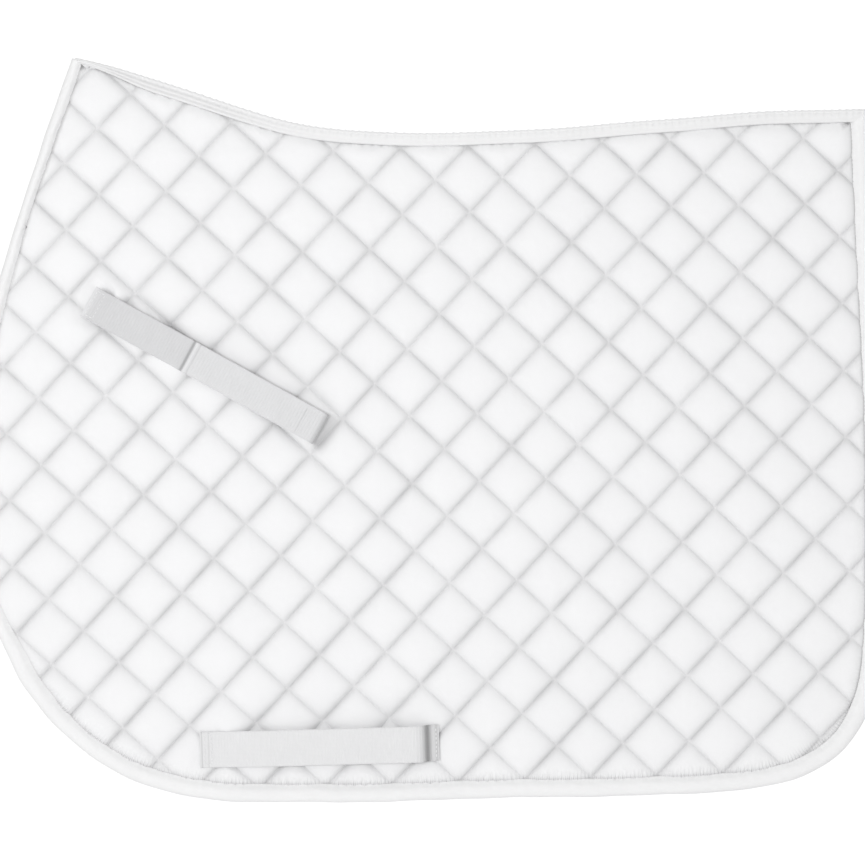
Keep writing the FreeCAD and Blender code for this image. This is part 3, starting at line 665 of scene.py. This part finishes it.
def quilt_simulation():
    """Sheet held along its seams and blown up by the wadding: offsets in x, z and height."""
    scale = 0.01                           # simulation units to the mm
    start_rise = 0.006                     # of the puff, so that the sheet starts domed
    source = panel_grid(EVEN)
    verts = np.stack([source.x * scale, source.z * scale, start_rise * source.puff], 1)
    data = bpy.data.meshes.new("sheet")
    data.from_pydata(verts.tolist(), [], source.quads[:, ::-1].tolist())
    data.update()
    sheet = bpy.data.objects.new("sheet", data)
    bpy.context.scene.collection.objects.link(sheet)
    pin = sheet.vertex_groups.new(name="pin")
    held = source.seam_i | source.seam_j | source.under
    pin.add(np.nonzero(held)[0].tolist(), 1.0, "REPLACE")
    grow = sheet.vertex_groups.new(name="grow")
    levels = np.round(source.random, 1)
    for level in np.unique(levels):
        grow.add(np.nonzero(levels == level)[0].tolist(), float(level), "REPLACE")

    cloth = sheet.modifiers.new("cloth", "CLOTH")
    settings = cloth.settings
    settings.quality = 4
    settings.mass = 0.25
    settings.tension_stiffness = 25
    settings.compression_stiffness = 18
    settings.shear_stiffness = 8
    settings.bending_stiffness = 0.3
    settings.tension_damping = 8
    settings.compression_damping = 8
    settings.shear_damping = 8
    settings.air_damping = 4
    settings.vertex_group_mass = "pin"
    settings.use_pressure = True
    settings.uniform_pressure_force = 18.0
    # negative shrinkage lets the cloth grow, by a different amount in each diamond
    settings.vertex_group_shrink = "grow"
    settings.shrink_min = -0.02
    settings.shrink_max = -0.05
    settings.effector_weights.gravity = 0.0
    cloth.collision_settings.use_collision = False
    cloth.collision_settings.use_self_collision = False
    scene = bpy.context.scene
    scene.frame_start, scene.frame_end = 1, 40
    cloth.point_cache.frame_start, cloth.point_cache.frame_end = 1, 40
    for frame in range(1, 29):
        scene.frame_set(frame)

    result = sheet.evaluated_get(bpy.context.evaluated_depsgraph_get())
    places = np.empty(len(result.data.vertices) * 3, np.float32)
    result.data.vertices.foreach_get("co", places)
    places = places.reshape(-1, 3).astype(float)
    bpy.data.objects.remove(sheet)
    bpy.data.meshes.remove(data)
    scene.frame_set(1)
    places /= scale
    offsets = places[:, 0] - source.x, places[:, 1] - source.z, places[:, 2]
    return [carried(source, offset) for offset in offsets]


def quilt_offsets():
    """Shift in x and z and rise of the cloth at each grid point."""
    shift_x, shift_z, puff = quilt_simulation()
    # a sheet that blew apart or stayed flat gives way to the plain pillows
    if np.isfinite(puff).all() and np.percentile(puff, 95) > 0.5:
        return np.clip(shift_x, -1.5, 1.5), np.clip(shift_z, -1.5, 1.5), puff
    return np.zeros(point_count), np.zeros(point_count), grid.puff


def on_strap(strap):
    """Grid points as (along, across) in a strap's frame."""
    angle = math.radians(strap.angle)
    x, z = grid.x - strap.x, grid.z - strap.z
    return (x * math.cos(angle) - z * math.sin(angle), x * math.sin(angle) + z * math.cos(angle))


def pressed(height, along, across, start, end, half, level, soft):
    """Cloth held down to a level under a strap's sewn end, easing out round it."""
    past_end = np.maximum(np.maximum(start - along, along - end), 0)
    past_side = np.maximum(np.abs(across) - half, 0)
    hold = 1 - smoothstep(np.sqrt(past_end ** 2 + past_side ** 2) / soft)
    return height * (1 - hold) + np.minimum(height, level) * hold


def under_billet(outer):
    """Outer face shaped by the billet strap, and the mask of the painted shadow beyond its folded
    end.
    """
    along, across = on_strap(BILLET)
    outer = pressed(outer, along, across, start=-1.5, end=11.0, half=12.6, level=7.3, soft=5.0)
    # a small ridge beside the sewn end, a groove between it and the strap, and a nick
    ridge = (bell(across, 15.6, 2.0) * smoothstep((along + 4) / 8.0)
             * smoothstep((40.0 - along) / 12.0))
    groove = (bell(across, 12.3, 1.1) * smoothstep((along - 1) / 6.0)
              * (0.5 + 0.5 * smoothstep((90.0 - along) / 30.0))
              * smoothstep((176.0 - along) / 12.0))
    nick = bell(along, 34.0, 1.5) * bell(across, 14.5, 3.5)
    outer = outer + 1.5 * ridge - 2.4 * groove - 1.8 * nick
    # the cloth is packed down where the folded end bears on it; a painted shadow of the raised end
    # is laid there too
    painted_end_shadow = bell(along, 188.5, 5.6) * smoothstep((14.0 - np.abs(across)) / 4.0)
    packed = bell(along, 189.0, 5.0) * smoothstep((14.5 - np.abs(across)) / 4.0)
    return outer - 2.2 * packed, painted_end_shadow


def cloth_heights(puff):
    """Heights of the outer face and the lining, and the mask of the painted shadow on the outer
    face.
    """
    g = grid
    puff = puff * (DOME / np.percentile(puff, 99))
    beside_i, beside_j = np.minimum(g.part_i, 1 - g.part_i), np.minimum(g.part_j, 1 - g.part_j)
    # the seams dip a little more where two cross
    crossing_dip = 0.5 * np.exp(-((beside_i ** 2 + beside_j ** 2) / 0.02))
    near_edge = (smoothstep((g.edge_in - 11.8) / 5.0)
                 * smoothstep((g.top_in - tape_shown + 0.3) / 5.0))
    near_edge = np.minimum(1.0, 0.08 + 0.92 * near_edge)
    broad = (0.35 * np.sin(g.x / 61.0 + 1.3) * np.sin(g.z / 47.0 + 0.4)
             + 0.25 * np.sin(g.x / 23.0 + g.z / 31.0))
    # the i seams bite less towards the bottom of the pad, the j seams slightly more
    down = smoothstep((-g.z - 120.0) / 260.0)
    step_up = ((1 - (1.0 - 0.34 * down) * np.exp(-beside_i * DIAMOND / 1.9))
               * (1 - (0.96 + 0.04 * down) * np.exp(-beside_j * DIAMOND / 1.9)))
    # each dome leans its own way
    other_random = cell_random[(g.cell_i + 31) % 128, g.cell_j % 128]
    lean = (0.5 * (g.random - 0.5) * (g.part_i - 0.5)
            + 0.5 * (other_random - 0.5) * (g.part_j - 0.5))
    lift = (puff * (1 + lean) + STEP * step_up) * near_edge
    # both faces are held close under the tapes
    tuck = np.maximum(smoothstep((12.8 - g.edge_in) / 1.6),
                      smoothstep((tape_shown + 0.5 - g.top_in) / 1.6))

    outer = SEAM_OUT + lift - crossing_dip + broad * 0.5 * (1 - tuck)
    # the tucked cloth lies higher at the front of the top edge
    tucked = 6.8 + 1.3 * smoothstep((-175.0 - g.x) / 40.0) * smoothstep((22.0 - g.top_in) / 10.0)
    outer = outer * (1 - tuck) + np.minimum(outer, tucked) * tuck
    outer, painted_end_shadow = under_billet(outer)
    along, across = on_strap(GIRTH)
    for start, end, soft in ((-1.0, 14.0, 5.0), (162.0, 168.0, 4.0)):
        outer = pressed(outer, along, across, start, end, half=13.2, level=9.6, soft=soft)

    inner = np.maximum(SEAM_IN - 0.62 * lift + 0.3 * crossing_dip, 1.15)
    inner = inner * (1 - tuck) + np.maximum(inner, 4.2) * tuck
    return outer, inner, painted_end_shadow


shift_x, shift_z, puff = quilt_offsets()
# the third result is the mask of the painted shadow beyond the billet's folded end
outer_height, inner_height, painted_end_shadow = cloth_heights(puff)


# ------------------------------------------------------------------ quilted panel
def rim_edges():
    """Edges of the grid that belong to one quad only."""
    edges = {}
    for a, b in ((0, 1), (1, 2), (2, 3), (3, 0)):
        for start, end in zip(grid.quads[:, a].tolist(), grid.quads[:, b].tolist()):
            key = (min(start, end), max(start, end))
            edges[key] = None if key in edges else (start, end)
    return [edge for edge in edges.values() if edge]


def turned_edge():
    """Turned-in edge of the cloth under the spine tape."""
    # (distance below the top edge, height)
    section = [(0.7, 7.8), (2.5, 7.3), (5.0, 6.9), (8.5, 6.7),
               (8.5, 5.4), (5.0, 5.2), (2.5, 5.0), (0.7, 4.8)]
    line = evenly(top_line[1:-1], 3.0)
    below = -left_normals(line)
    corners = [np.stack([line[:, 0] + below[:, 0] * drop, np.full(len(line), -height),
                         line[:, 1] + below[:, 1] * drop], 1) for drop, height in section]
    verts, faces = sweep(np.stack(corners, 1) * MM)
    return verts, outward(verts, faces)


def panel_attributes(turned_count):
    """Point attributes of the outer face, the lining and the turned-in edge, in that order."""
    from_top = grid.top_in - tape_shown + 12.4
    top_closer = from_top < grid.edge_in
    # the run along the top is kept clear of the run along the bound edge
    edge_run = np.where(top_closer, grid.top_run + 5000.0, grid.edge_run)
    edge_in = np.where(top_closer, from_top, grid.edge_in)
    seam_i, seam_j = grid.cell_i + grid.part_i, grid.cell_j + grid.part_j
    # name: (outer face, lining, turned-in edge)
    values = {"edge_run": (edge_run, edge_run, 0.0), "edge_in": (edge_in, edge_in, 10.0),
              "quilt_i": (seam_i, seam_i, 0.5), "quilt_j": (seam_j, seam_j, 0.5),
              # the painted shadow beyond the billet's fold lies on the outer face only
              "painted_end_shadow": (painted_end_shadow, np.zeros(point_count), 0.0)}
    return {name: np.concatenate([outer, lining, np.full(turned_count, turned)])
            for name, (outer, lining, turned) in values.items()}


def quilted_panel(side):
    """Outer face and lining of a panel, with the wadding between them."""
    front = np.stack([grid.x + shift_x, -outer_height, grid.z + shift_z], 1)
    back = np.stack([grid.x + 0.3 * shift_x, -inner_height, grid.z + 0.3 * shift_z], 1)
    n = point_count
    faces = [tuple(quad) for quad in grid.quads[:, ::-1].tolist()]
    faces += [tuple(k + n for k in quad) for quad in grid.quads.tolist()]
    faces += [(a, b, b + n, a + n) for a, b in rim_edges()]
    turned = turned_edge()
    verts, faces = join([(np.concatenate([front, back]) * MM, faces), turned])
    if side == "right":
        verts, faces = mirrored(verts, faces)
    return mesh(side + "_quilted_panel", verts, faces, FACE, panel_attributes(len(turned[0])))


def quilting_stitches():
    points = np.stack([grid.x + shift_x, -(outer_height - 0.12), grid.z + shift_z], 1)
    shown = (grid.edge_in > 13.2) & (grid.top_in > tape_shown + 1.6)
    parts = []
    for seam, fixed, along in ((grid.seam_i, grid.i, grid.j), (grid.seam_j, grid.j, grid.i)):
        for k in np.unique(fixed[seam & shown]):
            row = np.nonzero(seam & shown & (fixed == k))[0]
            row = row[np.argsort(along[row])]
            for stretch in np.split(row, np.nonzero(np.diff(along[row]) > 1)[0] + 1):
                if len(stretch) < 5:
                    continue
                line = evenly(points[stretch], 2.7)[1:-1]
                if len(line) < 3:
                    continue
                parts.append(beads(line, tangents(line), facing(-1, len(line)),
                                   length=2.0, radius=0.2, sides=4))
    return join(parts)


# ------------------------------------------------------------------ tapes along the outline
def outline_sweep(line, profile, ripple, step, scale=None):
    """Rings of (inset, height) points along a line that has the pad on its left."""
    line = evenly(line, step)
    inward = left_normals(line)
    run = run_length(line)
    inset_off, height_off = ripple(run[:, None], profile)
    inset, height = profile[None, :, 0] + inset_off, profile[None, :, 1] + height_off
    if scale is not None:
        inset = np.where(inset > 0, inset * scale(run)[:, None], inset)
    x = line[:, 0:1] + inward[:, 0:1] * inset
    z = line[:, 1:2] + inward[:, 1:2] * inset
    return np.stack([x, -height, z], -1) * MM


def thick_profile(outer, thickness):
    """Closed section from an open outer line, thickened towards its right."""
    outer = evenly(outer, 0.9)
    return np.concatenate([outer, moved(outer, -thickness)[::-1]])


# Outer line of the edge binding, (inset, height): outer leg, round the edge, inner leg.
BINDING_MIDDLE = 5.75                      # height of its middle
binding_profile = thick_profile(np.concatenate([
    [(12.8, 6.8), (12.3, 7.2), (11.4, 7.6), (10.2, 8.5), (8.6, 9.7), (7.0, 10.2), (6.0, 10.3)],
    arc(5.2, BINDING_MIDDLE, 5.2, 4.55, 85, 270, 16),
    [(7.5, 1.25), (10.5, 1.9), (12.1, 2.6), (12.5, 3.1)],
]), 0.75)

# Outer half of the spine tape, (inset, height), from its hem up to the fold.
tape_half = np.concatenate([
    [(7.6, 8.6), (7.2, 9.2), (6.4, 9.7), (4.5, 10.5), (2.6, 10.9)],
    arc(2.6, 7.6, 2.9, 3.3, 85, 175, 9)[1:],
    [(-0.55, 4.5), (-0.7, 1.5)],
])
tape_profile = thick_profile(np.concatenate([tape_half, (tape_half * [1, -1])[::-1]]), 0.8)
tape_line = top_line[::-1]                 # rear to front, so that the pad lies on its left


def binding_ripple(run, profile):
    """Puckers at the hem and a slow roll over the whole binding."""
    inset, height = profile[None, :, 0], profile[None, :, 1]
    pucker = np.sin(2 * np.pi * run / 2.9 + 1.1 * np.sin(run / 17.0) + 0.8 * np.sin(run / 5.3))
    roll = (0.16 * np.sin(2 * np.pi * run / 9.0 + 1.5 * np.sin(run / 31.0) + inset * 0.35)
            + 0.12 * np.sin(run / 4.1 + inset))
    height_off = np.sign(height - BINDING_MIDDLE) * (
        0.30 * bell(inset, 11.3, 2.4) * pucker + roll * np.clip((inset - 1) / 3, 0, 1) * 0.7)
    return 0.18 * np.sin(run / 13.0) + 0.12 * np.sin(run / 5.7 + 1.0), height_off


def tape_ripple(run, profile):
    """Gathers across the spine tape, its sunk rows of stitching and its narrow front end."""
    inset, height = profile[None, :, 0], profile[None, :, 1]
    leg = np.clip((np.abs(height) - 7.0) / 3.0, 0, 1)
    phase = 2 * np.pi * run / 5.0 + 1.6 * np.sin(run / 21.0) + 1.1 * np.sin(run / 8.0)
    gather = np.sin(phase) + 0.5 * np.sin(2 * phase + 0.6)
    # the rows of stitching show most towards the front peak
    front = smoothstep((run - (run.max() - 190.0)) / 90.0)
    rows = bell(inset, 2.8, 0.65) + bell(inset, 5.6, 0.55)
    near_fold = np.clip(1.15 - inset / 4.2, 0.1, 1)
    height_off = np.sign(height) * leg * (0.34 * gather * near_fold - (0.25 + 1.0 * front) * rows
                                          + 0.10 * np.sin(run / 6.1))
    inset_off = 0.22 * np.sin(run / 15.0) + 0.24 * gather * np.clip(1 - inset / 5, 0.0, 1)
    narrow = tape_scale(run.max() - run)
    inset_off = inset_off * narrow + (narrow - 1) * np.maximum(inset + 0.7, 0)
    height_off = (height_off * smoothstep((narrow - 0.3) / 0.5)
                  - np.sign(height) * leg * 1.6 * (1 - narrow))
    return inset_off, height_off


def in_plane(line):
    """Unit directions along a line in the centre plane, in three dimensions."""
    along = tangents(line)
    return np.stack([along[:, 0], 0 * along[:, 0], along[:, 1]], 1)


def spine_stitches():
    """Two rows of stitches on each side of the spine tape."""
    parts = []
    for inset, drop in ((2.7, 0.0), (5.6, 0.8)):
        line = evenly(moved(tape_line[3:-34], inset), 2.8)
        height = np.interp(line[:, 0], [-190, -110], [9.75, 10.5]) - drop
        for direction in (-1, 1):
            points = np.stack([line[:, 0], direction * height, line[:, 1]], 1)
            parts.append(beads(points, in_plane(line), facing(direction, len(line)),
                               length=2.1, radius=0.34))
    return join(parts)


def binding_stitches():
    """A row of stitches on each leg of the edge binding."""
    full_inset = moved(edge_line, 11.4) - edge_line
    row = edge_line + full_inset * band_scale(run_length(edge_line))[:, None]
    line = evenly(row[2:-2], 2.9)
    parts = []
    for height, direction in ((7.75, -1), (2.05, 1)):
        points = np.stack([line[:, 0], np.full(len(line), -height), line[:, 1]], 1)
        parts.append(beads(points, in_plane(line), facing(direction, len(line)),
                           length=2.1, radius=0.33))
    return join(parts)


def crown(line, turn, lowest):
    """Binding carried over from side to side at one end of the fold, down to the lowest z."""
    line = evenly(line[:12], 0.7)
    line = line[line[:, 1] > lowest]
    inward = left_normals(line) * turn
    rings = []
    for k in range(len(line)):
        grown = smoothstep(k / 6.0)
        half = 5.0 + 5.9 * grown
        profile = np.concatenate([arc(3.4, 0, 4.2, half, 90, 270, 30),
                                  arc(3.4, 0, 3.2, half - 1.0, 270, 90, 30)])
        inset = profile[:, 0] + 1.6 * (1 - grown)
        rings.append(np.stack([line[k, 0] + inward[k, 0] * inset, profile[:, 1],
                               line[k, 1] + inward[k, 1] * inset - 1.0 * (1 - grown)], -1))
    return sweep(np.array(rings) * MM)


# ------------------------------------------------------------------ straps
WEB_THICK = 1.2
BILLET_WIDTH, GIRTH_WIDTH = 23.4, 25.4
SPLIT = 108.0                              # where the billet's front half meets its base
FOLD = 171.0                               # where base and tail meet the turn at the end
BASE_MID, TAIL_MID = 12.65, 16.45          # heights of the two layers
JOINT = 0.05                               # clearance each side of the fold's joints

# Paths are (distance along the strap, height).
GIRTH_PATH = [
    (0, 11.0), (5, 10.9), (10, 11.0), (14, 11.4), (18, 12.2), (22, 13.1), (27, 14.3), (33, 15.4),
    (40, 16.4), (50, 17.3), (62, 17.8), (78, 18.1), (95, 18.5), (112, 19.2), (126, 20.2),
    (138, 21.3), (146, 21.9), (150.5, 21.9), (153.3, 21.2), (155.2, 19.7), (156.9, 17.6),
    (158.6, 15.3), (160.4, 13.0), (162.0, 11.6), (163.4, 11.1), (165.2, 11.0), (167.6, 11.0)]
BILLET_FRONT_PATH = [
    (0.0, 8.2), (4, 8.8), (8, 10.0), (12, 11.7), (16, 13.2), (20, 13.9), (26, 14.1), (32, 14.0),
    (38, 13.7), (50, 13.2), (66, 12.8), (84, BASE_MID), (SPLIT, BASE_MID)]
BILLET_BASE_PATH = [(SPLIT + 0.15, BASE_MID), (150, BASE_MID), (FOLD - JOINT, BASE_MID)]
BILLET_FOLD_PATH = np.concatenate([
    [(FOLD + JOINT, BASE_MID), (175, BASE_MID - 0.05), (179, BASE_MID - 0.1), (182.0, BASE_MID)],
    arc(182.3, 14.15, 4.2, 1.6, -75, 75, 12),
    [(178, 16.1), (174, TAIL_MID), (FOLD + JOINT, 16.6)],
])
BILLET_TAIL_PATH = [
    (FOLD - JOINT, 16.6), (164, 16.7), (150, TAIL_MID), (120, TAIL_MID), (95, TAIL_MID),
    (86, 16.7), (84.2, 16.9), (82.6, 15.9), (81.4, 14.9)]
LIE_TILT, LIE_END = 1.5, 1.7               # tilt of the free strap, and rise of its folded end
LIE_UNTILT = 0.9                           # tilt lost again towards the folded end
LIE_HALF = 11.7                            # distance across at which the tilt is reached


def billet_lie(along, across):
    """Extra height of the free billet: its upper edge and its folded end stand off the pad."""
    free = smoothstep((along - 14.0) / 26.0)
    tilt = free * (LIE_TILT - LIE_UNTILT * smoothstep((along - 120.0) / 48.0))
    wander = 0.3 * free * np.sin(along / 19.0 + 0.7) * smoothstep((170.0 - along) / 40.0)
    up = tilt * (across / LIE_HALF + 0.55) + wander
    return up + LIE_END * smoothstep((along - 118.0) / 50.0)


def to_world(strap, along, across, height):
    angle = math.radians(strap.angle)
    x = strap.x + along * math.cos(angle) + across * math.sin(angle)
    z = strap.z - along * math.sin(angle) + across * math.cos(angle)
    return np.stack([x, -height, z], -1) * MM


def ribbon(strap, path, width, thick=WEB_THICK, rib=0.10, pitch=2.2, lie=None):
    """Ribbed webbing along a path: its geometry and its run and across attributes."""
    line = evenly(smoothed(path, 1.0, 1.5) if len(path) > 3 else path, 0.36)
    # a ring close to each end keeps the cut ends crisp
    line = np.concatenate([line[:1], line[:1] + (line[1:2] - line[:1]) * 0.05, line[1:-1],
                           line[-1:] + (line[-2:-1] - line[-1:]) * 0.05, line[-1:]])
    normal = left_normals(line)
    run = run_length(line)[:, None]
    # (distance across, share of the half thickness)
    flat = np.linspace(-0.5, 0.5, 22) * (width - 0.9)
    edge = [(width / 2 - 0.12, 0.55), (width / 2, 0.0), (width / 2 - 0.12, -0.55)]
    section = np.array([(w, 1.0) for w in flat] + edge
                       + [(w, -1.0) for w in flat[::-1]] + [(-a, -b) for a, b in edge])
    across, face = section[None, :, 0], section[None, :, 1]
    selvedge = 0.10 * bell(np.abs(across), width / 2 - 0.9, 0.7)
    ribs = rib * np.sin(2 * np.pi * run / pitch) + selvedge
    off = face * (thick / 2) + np.sign(face) * ribs * np.abs(face)
    nibble = 0.07 * np.sin(2 * np.pi * run / pitch + 1.5) * (np.abs(across) > width * 0.46)
    across = across + np.sign(across) * nibble
    along = line[:, 0:1] + normal[:, 0:1] * off
    height = line[:, 1:2] + normal[:, 1:2] * off
    if lie is not None:
        height = height + lie(along, across)
    geometry = sweep(to_world(strap, along, across, height))
    return geometry, {"run": np.repeat(run, len(section)), "across": across.ravel()}


def strap_stitches(strap, rows, radius=0.32):
    """Rows of stitches: (along and across at the start, the same at the end, two heights)."""
    parts = []
    for start, start_across, end, end_across, heights in rows:
        length, span = end - start, end_across - start_across
        count = max(1, int(round(math.hypot(length, span) / 2.9)))
        part = (np.arange(count) + 0.5) / count
        points = to_world(strap, start + length * part, start_across + span * part,
                          np.interp(part, [0, 1], heights)) / MM
        way = to_world(strap, length, span, 0.0) - to_world(strap, 0.0, 0.0, 0.0)
        directions = np.tile(way / np.linalg.norm(way), (count, 1))
        parts.append(beads(points, directions, facing(-1, count), length=2.2, radius=radius))
    return join(parts)


def stitched_box(start, end, half, heights, side_heights):
    """Four rows of stitches; heights are those of the rows at the start and at the end."""
    near, far = heights
    return [(start, -half, start, half, (near, near)), (end, -half, end, half, (far, far)),
            (start, -half, end, -half, side_heights), (start, half, end, half, side_heights)]


# ------------------------------------------------------------------ pieces on the spine
def settle_spine(obj, node):
    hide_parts(node)
    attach(obj, "spine")


tape_rings = outline_sweep(tape_line[1:-1], tape_profile, tape_ripple, 0.65)
tape_insets = np.tile(tape_profile[:, 0], len(tape_rings))
settle_spine(add("spine_tape_cloth", sweep(tape_rings), SPINE_TAPE,
                 attributes={"tape_in": tape_insets}), "spine_tape")
settle_spine(add("spine_tape_stitches", spine_stitches(), THREAD),
             "spine_tape_stitching")
for label, line, turn, lowest in (("front_crown", edge_line, 1, 30.0),
                                  ("rear_crown", edge_line[::-1], -1, 0.0)):
    settle_spine(add(label + "_tape", crown(line, turn, lowest), BINDING),
                 label + "_binding")


# ------------------------------------------------------------------ pieces on each side
def settle(obj, side, node, body):
    """Piece that stands for one node and rides on one body of its side."""
    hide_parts(side + node)
    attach(obj, side + body)


def bend_with_panel(obj):
    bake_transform(obj)


def add_panel(side):
    panel = quilted_panel(side)
    layers = ("face_fabric", "wadding", "lining_fabric",
              "ridge_face_fabric", "ridge_wadding", "ridge_lining_fabric")
    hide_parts(*[side + "_" + layer for layer in layers])
    bend_with_panel(panel)

    rings = outline_sweep(edge_line, binding_profile, binding_ripple, 1.15, band_scale)
    binding = add(side + "_edge_binding_tape", sweep(rings), BINDING, side)
    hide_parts(side + "_edge_binding")
    bend_with_panel(binding)

    stitches = add(side + "_binding_stitches", binding_stitches(), THREAD, side)
    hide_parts(side + "_binding_stitching")
    if side == "left":
        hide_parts("crown_binding_stitching")
    bend_with_panel(stitches)

    threads = add(side + "_quilting_stitches", quilting_stitches(), THREAD, side)
    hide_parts(side + "_quilting_threads", side + "_ridge_quilting_threads")
    bend_with_panel(threads)


def billet_piece(side, name, path, material):
    geometry, attributes = ribbon(BILLET, path, BILLET_WIDTH, lie=billet_lie)
    return add(side + "_billet_" + name, geometry, webbings[material], side, attributes)


def add_billet(side):
    """Billet strap: from its sewn end to the fold, and back on itself."""
    strap_body, tail_body = side + "_billet_strap_body", side + "_billet_tail_body"
    front = billet_piece(side, "front", BILLET_FRONT_PATH, "billet_webbing_front")
    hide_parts(side + "_billet_anchor")
    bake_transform(front)

    base = billet_piece(side, "base", BILLET_BASE_PATH, "billet_webbing")
    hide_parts(side + "_billet_strap")
    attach(base, strap_body)

    fold = billet_piece(side, "fold", BILLET_FOLD_PATH, "billet_webbing_fold")
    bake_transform(fold)

    tail = billet_piece(side, "tail", BILLET_TAIL_PATH, "billet_webbing_tail")
    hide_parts(side + "_billet_tail")
    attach(tail, tail_body)

    for name, height, material, body in (("loop_tape", 13.8, LOOP, "_billet_strap_body"),
                                         ("hook_tape", 15.05, HOOK, "_billet_tail_body")):
        path = [(91, height), (130, height), (168, height)]
        geometry, attributes = ribbon(BILLET, path, 18.6, thick=0.85, rib=0.05, pitch=1.4,
                                      lie=billet_lie)
        pile = add(side + "_billet_" + name + "_pile", geometry, material, side, attributes)
        settle(pile, side, "_billet_" + name, body)

    rows = stitched_box(2.4, 8.6, BILLET_WIDTH / 2 - 2.4, (9.15, 10.9), (9.15, 10.9))
    stitches = add(side + "_billet_anchor_stitches", strap_stitches(BILLET, rows), THREAD, side)
    settle(stitches, side, "_billet_anchor_stitching", "_panel")


def add_girth(side):
    """Girth strap, sewn down at both ends."""
    geometry, attributes = ribbon(GIRTH, GIRTH_PATH, GIRTH_WIDTH)
    strap = add(side + "_girth_webbing", geometry, webbings["girth_webbing"], side, attributes)
    settle(strap, side, "_girth_strap", "_panel")
    half = GIRTH_WIDTH / 2 - 2.2
    rows = stitched_box(3.2, 8.4, half, (11.6, 11.65), (11.6, 11.6))
    rows.append((165.4, -half, 165.4, half, (11.6, 11.6)))
    geometry = strap_stitches(GIRTH, rows, radius=0.42)
    settle(add(side + "_girth_stitches", geometry, THREAD, side),
           side, "_girth_strap_stitching", "_panel")


for side in ("left", "right"):
    add_panel(side)
    add_billet(side)
    add_girth(side)

# ------------------------------------------------------------------ set, light and camera (metres)
FLOOR_Z = -0.4685
SWEEP_RADIUS = 0.25                        # of the bend from floor to wall
WALL_START = 1.5                           # y where the bend begins
ROOM_LIGHT = 0.65
ROOM_SEEN_EXTRA = 0.4                      # added where the camera looks past the paper
SENSOR = 36.0                              # mm
VIEW_DISTANCE, VIEW_WIDTH = 2400.0, 605.5  # mm; the frame's longer side spans this width
scene = bpy.context.scene


def paper_material():
    """Plain white to the camera, a soft glow to the pad, and clear from behind."""
    sh = Shader("paper")
    sh.set(Base_Color=(0.5, 0.5, 0.5, 1), Emission_Color=(1, 1, 1, 1), Emission_Strength=0.42,
           Roughness=0.9)
    white = sh.node("Emission")
    white.inputs["Color"].default_value = (1, 1, 1, 1)
    white.inputs["Strength"].default_value = 1.1
    seen = sh.node("LightPath").outputs["Is Camera Ray"]
    front = sh.node("MixShader")
    sh.link(seen, front.inputs[0])
    sh.link(sh.bsdf.outputs[0], front.inputs[1])
    sh.link(white.outputs[0], front.inputs[2])
    clear = sh.node("BsdfTransparent")
    behind = sh.node("NewGeometry").outputs["Backfacing"]
    either = sh.node("MixShader")
    sh.link(sh.mul(seen, behind), either.inputs[0])
    sh.link(front.outputs[0], either.inputs[1])
    sh.link(clear.outputs[0], either.inputs[2])
    sh.link(either.outputs[0], sh.output)
    return sh.material


def add_paper():
    """Floor that bends up into a wall behind the pad."""
    bend = arc(0, 0, SWEEP_RADIUS, SWEEP_RADIUS, -90, 0, 10)
    profile = [(-6.0, FLOOR_Z)]
    profile += [(WALL_START + y, FLOOR_Z + SWEEP_RADIUS + z) for y, z in bend]
    profile.append((WALL_START + SWEEP_RADIUS, 4.0))
    verts = [(x, y, z) for y, z in profile for x in (-6.0, 6.0)]
    faces = [(2 * k - 2, 2 * k - 1, 2 * k + 1, 2 * k) for k in range(1, len(profile))]
    mesh("paper_sweep", verts, faces, paper_material())


def add_key_light():
    """Square light ahead of the left side, a little to the front."""
    place, aim = Vector((-0.52, -2.2, -0.14)), Vector((0.02, 0.0, -0.2))
    data = bpy.data.lights.new("key", "AREA")
    data.shape = "RECTANGLE"
    data.size = data.size_y = 0.4
    data.energy = 16.9
    key = bpy.data.objects.new("key", data)
    scene.collection.objects.link(key)
    key.location = place
    key.rotation_euler = (aim - place).to_track_quat("-Z", "Y").to_euler()


def add_world():
    """Even white light, seen by the camera as plain white."""
    world = bpy.data.worlds.new("world")
    scene.world = world
    world.use_nodes = True
    tree = world.node_tree
    background = tree.nodes["Background"]
    background.inputs[0].default_value = (1.0, 1.0, 1.0, 1)
    background.inputs[1].default_value = ROOM_LIGHT
    seen = tree.nodes.new("ShaderNodeLightPath")
    level = tree.nodes.new("ShaderNodeMath")
    level.operation = "MULTIPLY_ADD"
    tree.links.new(seen.outputs["Is Camera Ray"], level.inputs[0])
    level.inputs[1].default_value = ROOM_SEEN_EXTRA
    level.inputs[2].default_value = ROOM_LIGHT
    tree.links.new(level.outputs[0], background.inputs[1])


def add_camera():
    """Camera square to the left side."""
    data = bpy.data.cameras.new("camera")
    data.sensor_width = SENSOR
    data.lens = SENSOR * VIEW_DISTANCE / VIEW_WIDTH
    data.clip_start, data.clip_end = 0.05, 50
    camera = bpy.data.objects.new("camera", data)
    scene.collection.objects.link(camera)
    camera.location = (0.00875, -2.411, -0.20895)
    camera.rotation_euler = (math.pi / 2, 0, 0)
    scene.camera = camera


add_paper()
add_key_light()
add_world()
add_camera()
scene.view_settings.view_transform = "Standard"
scene.view_settings.look = "None"
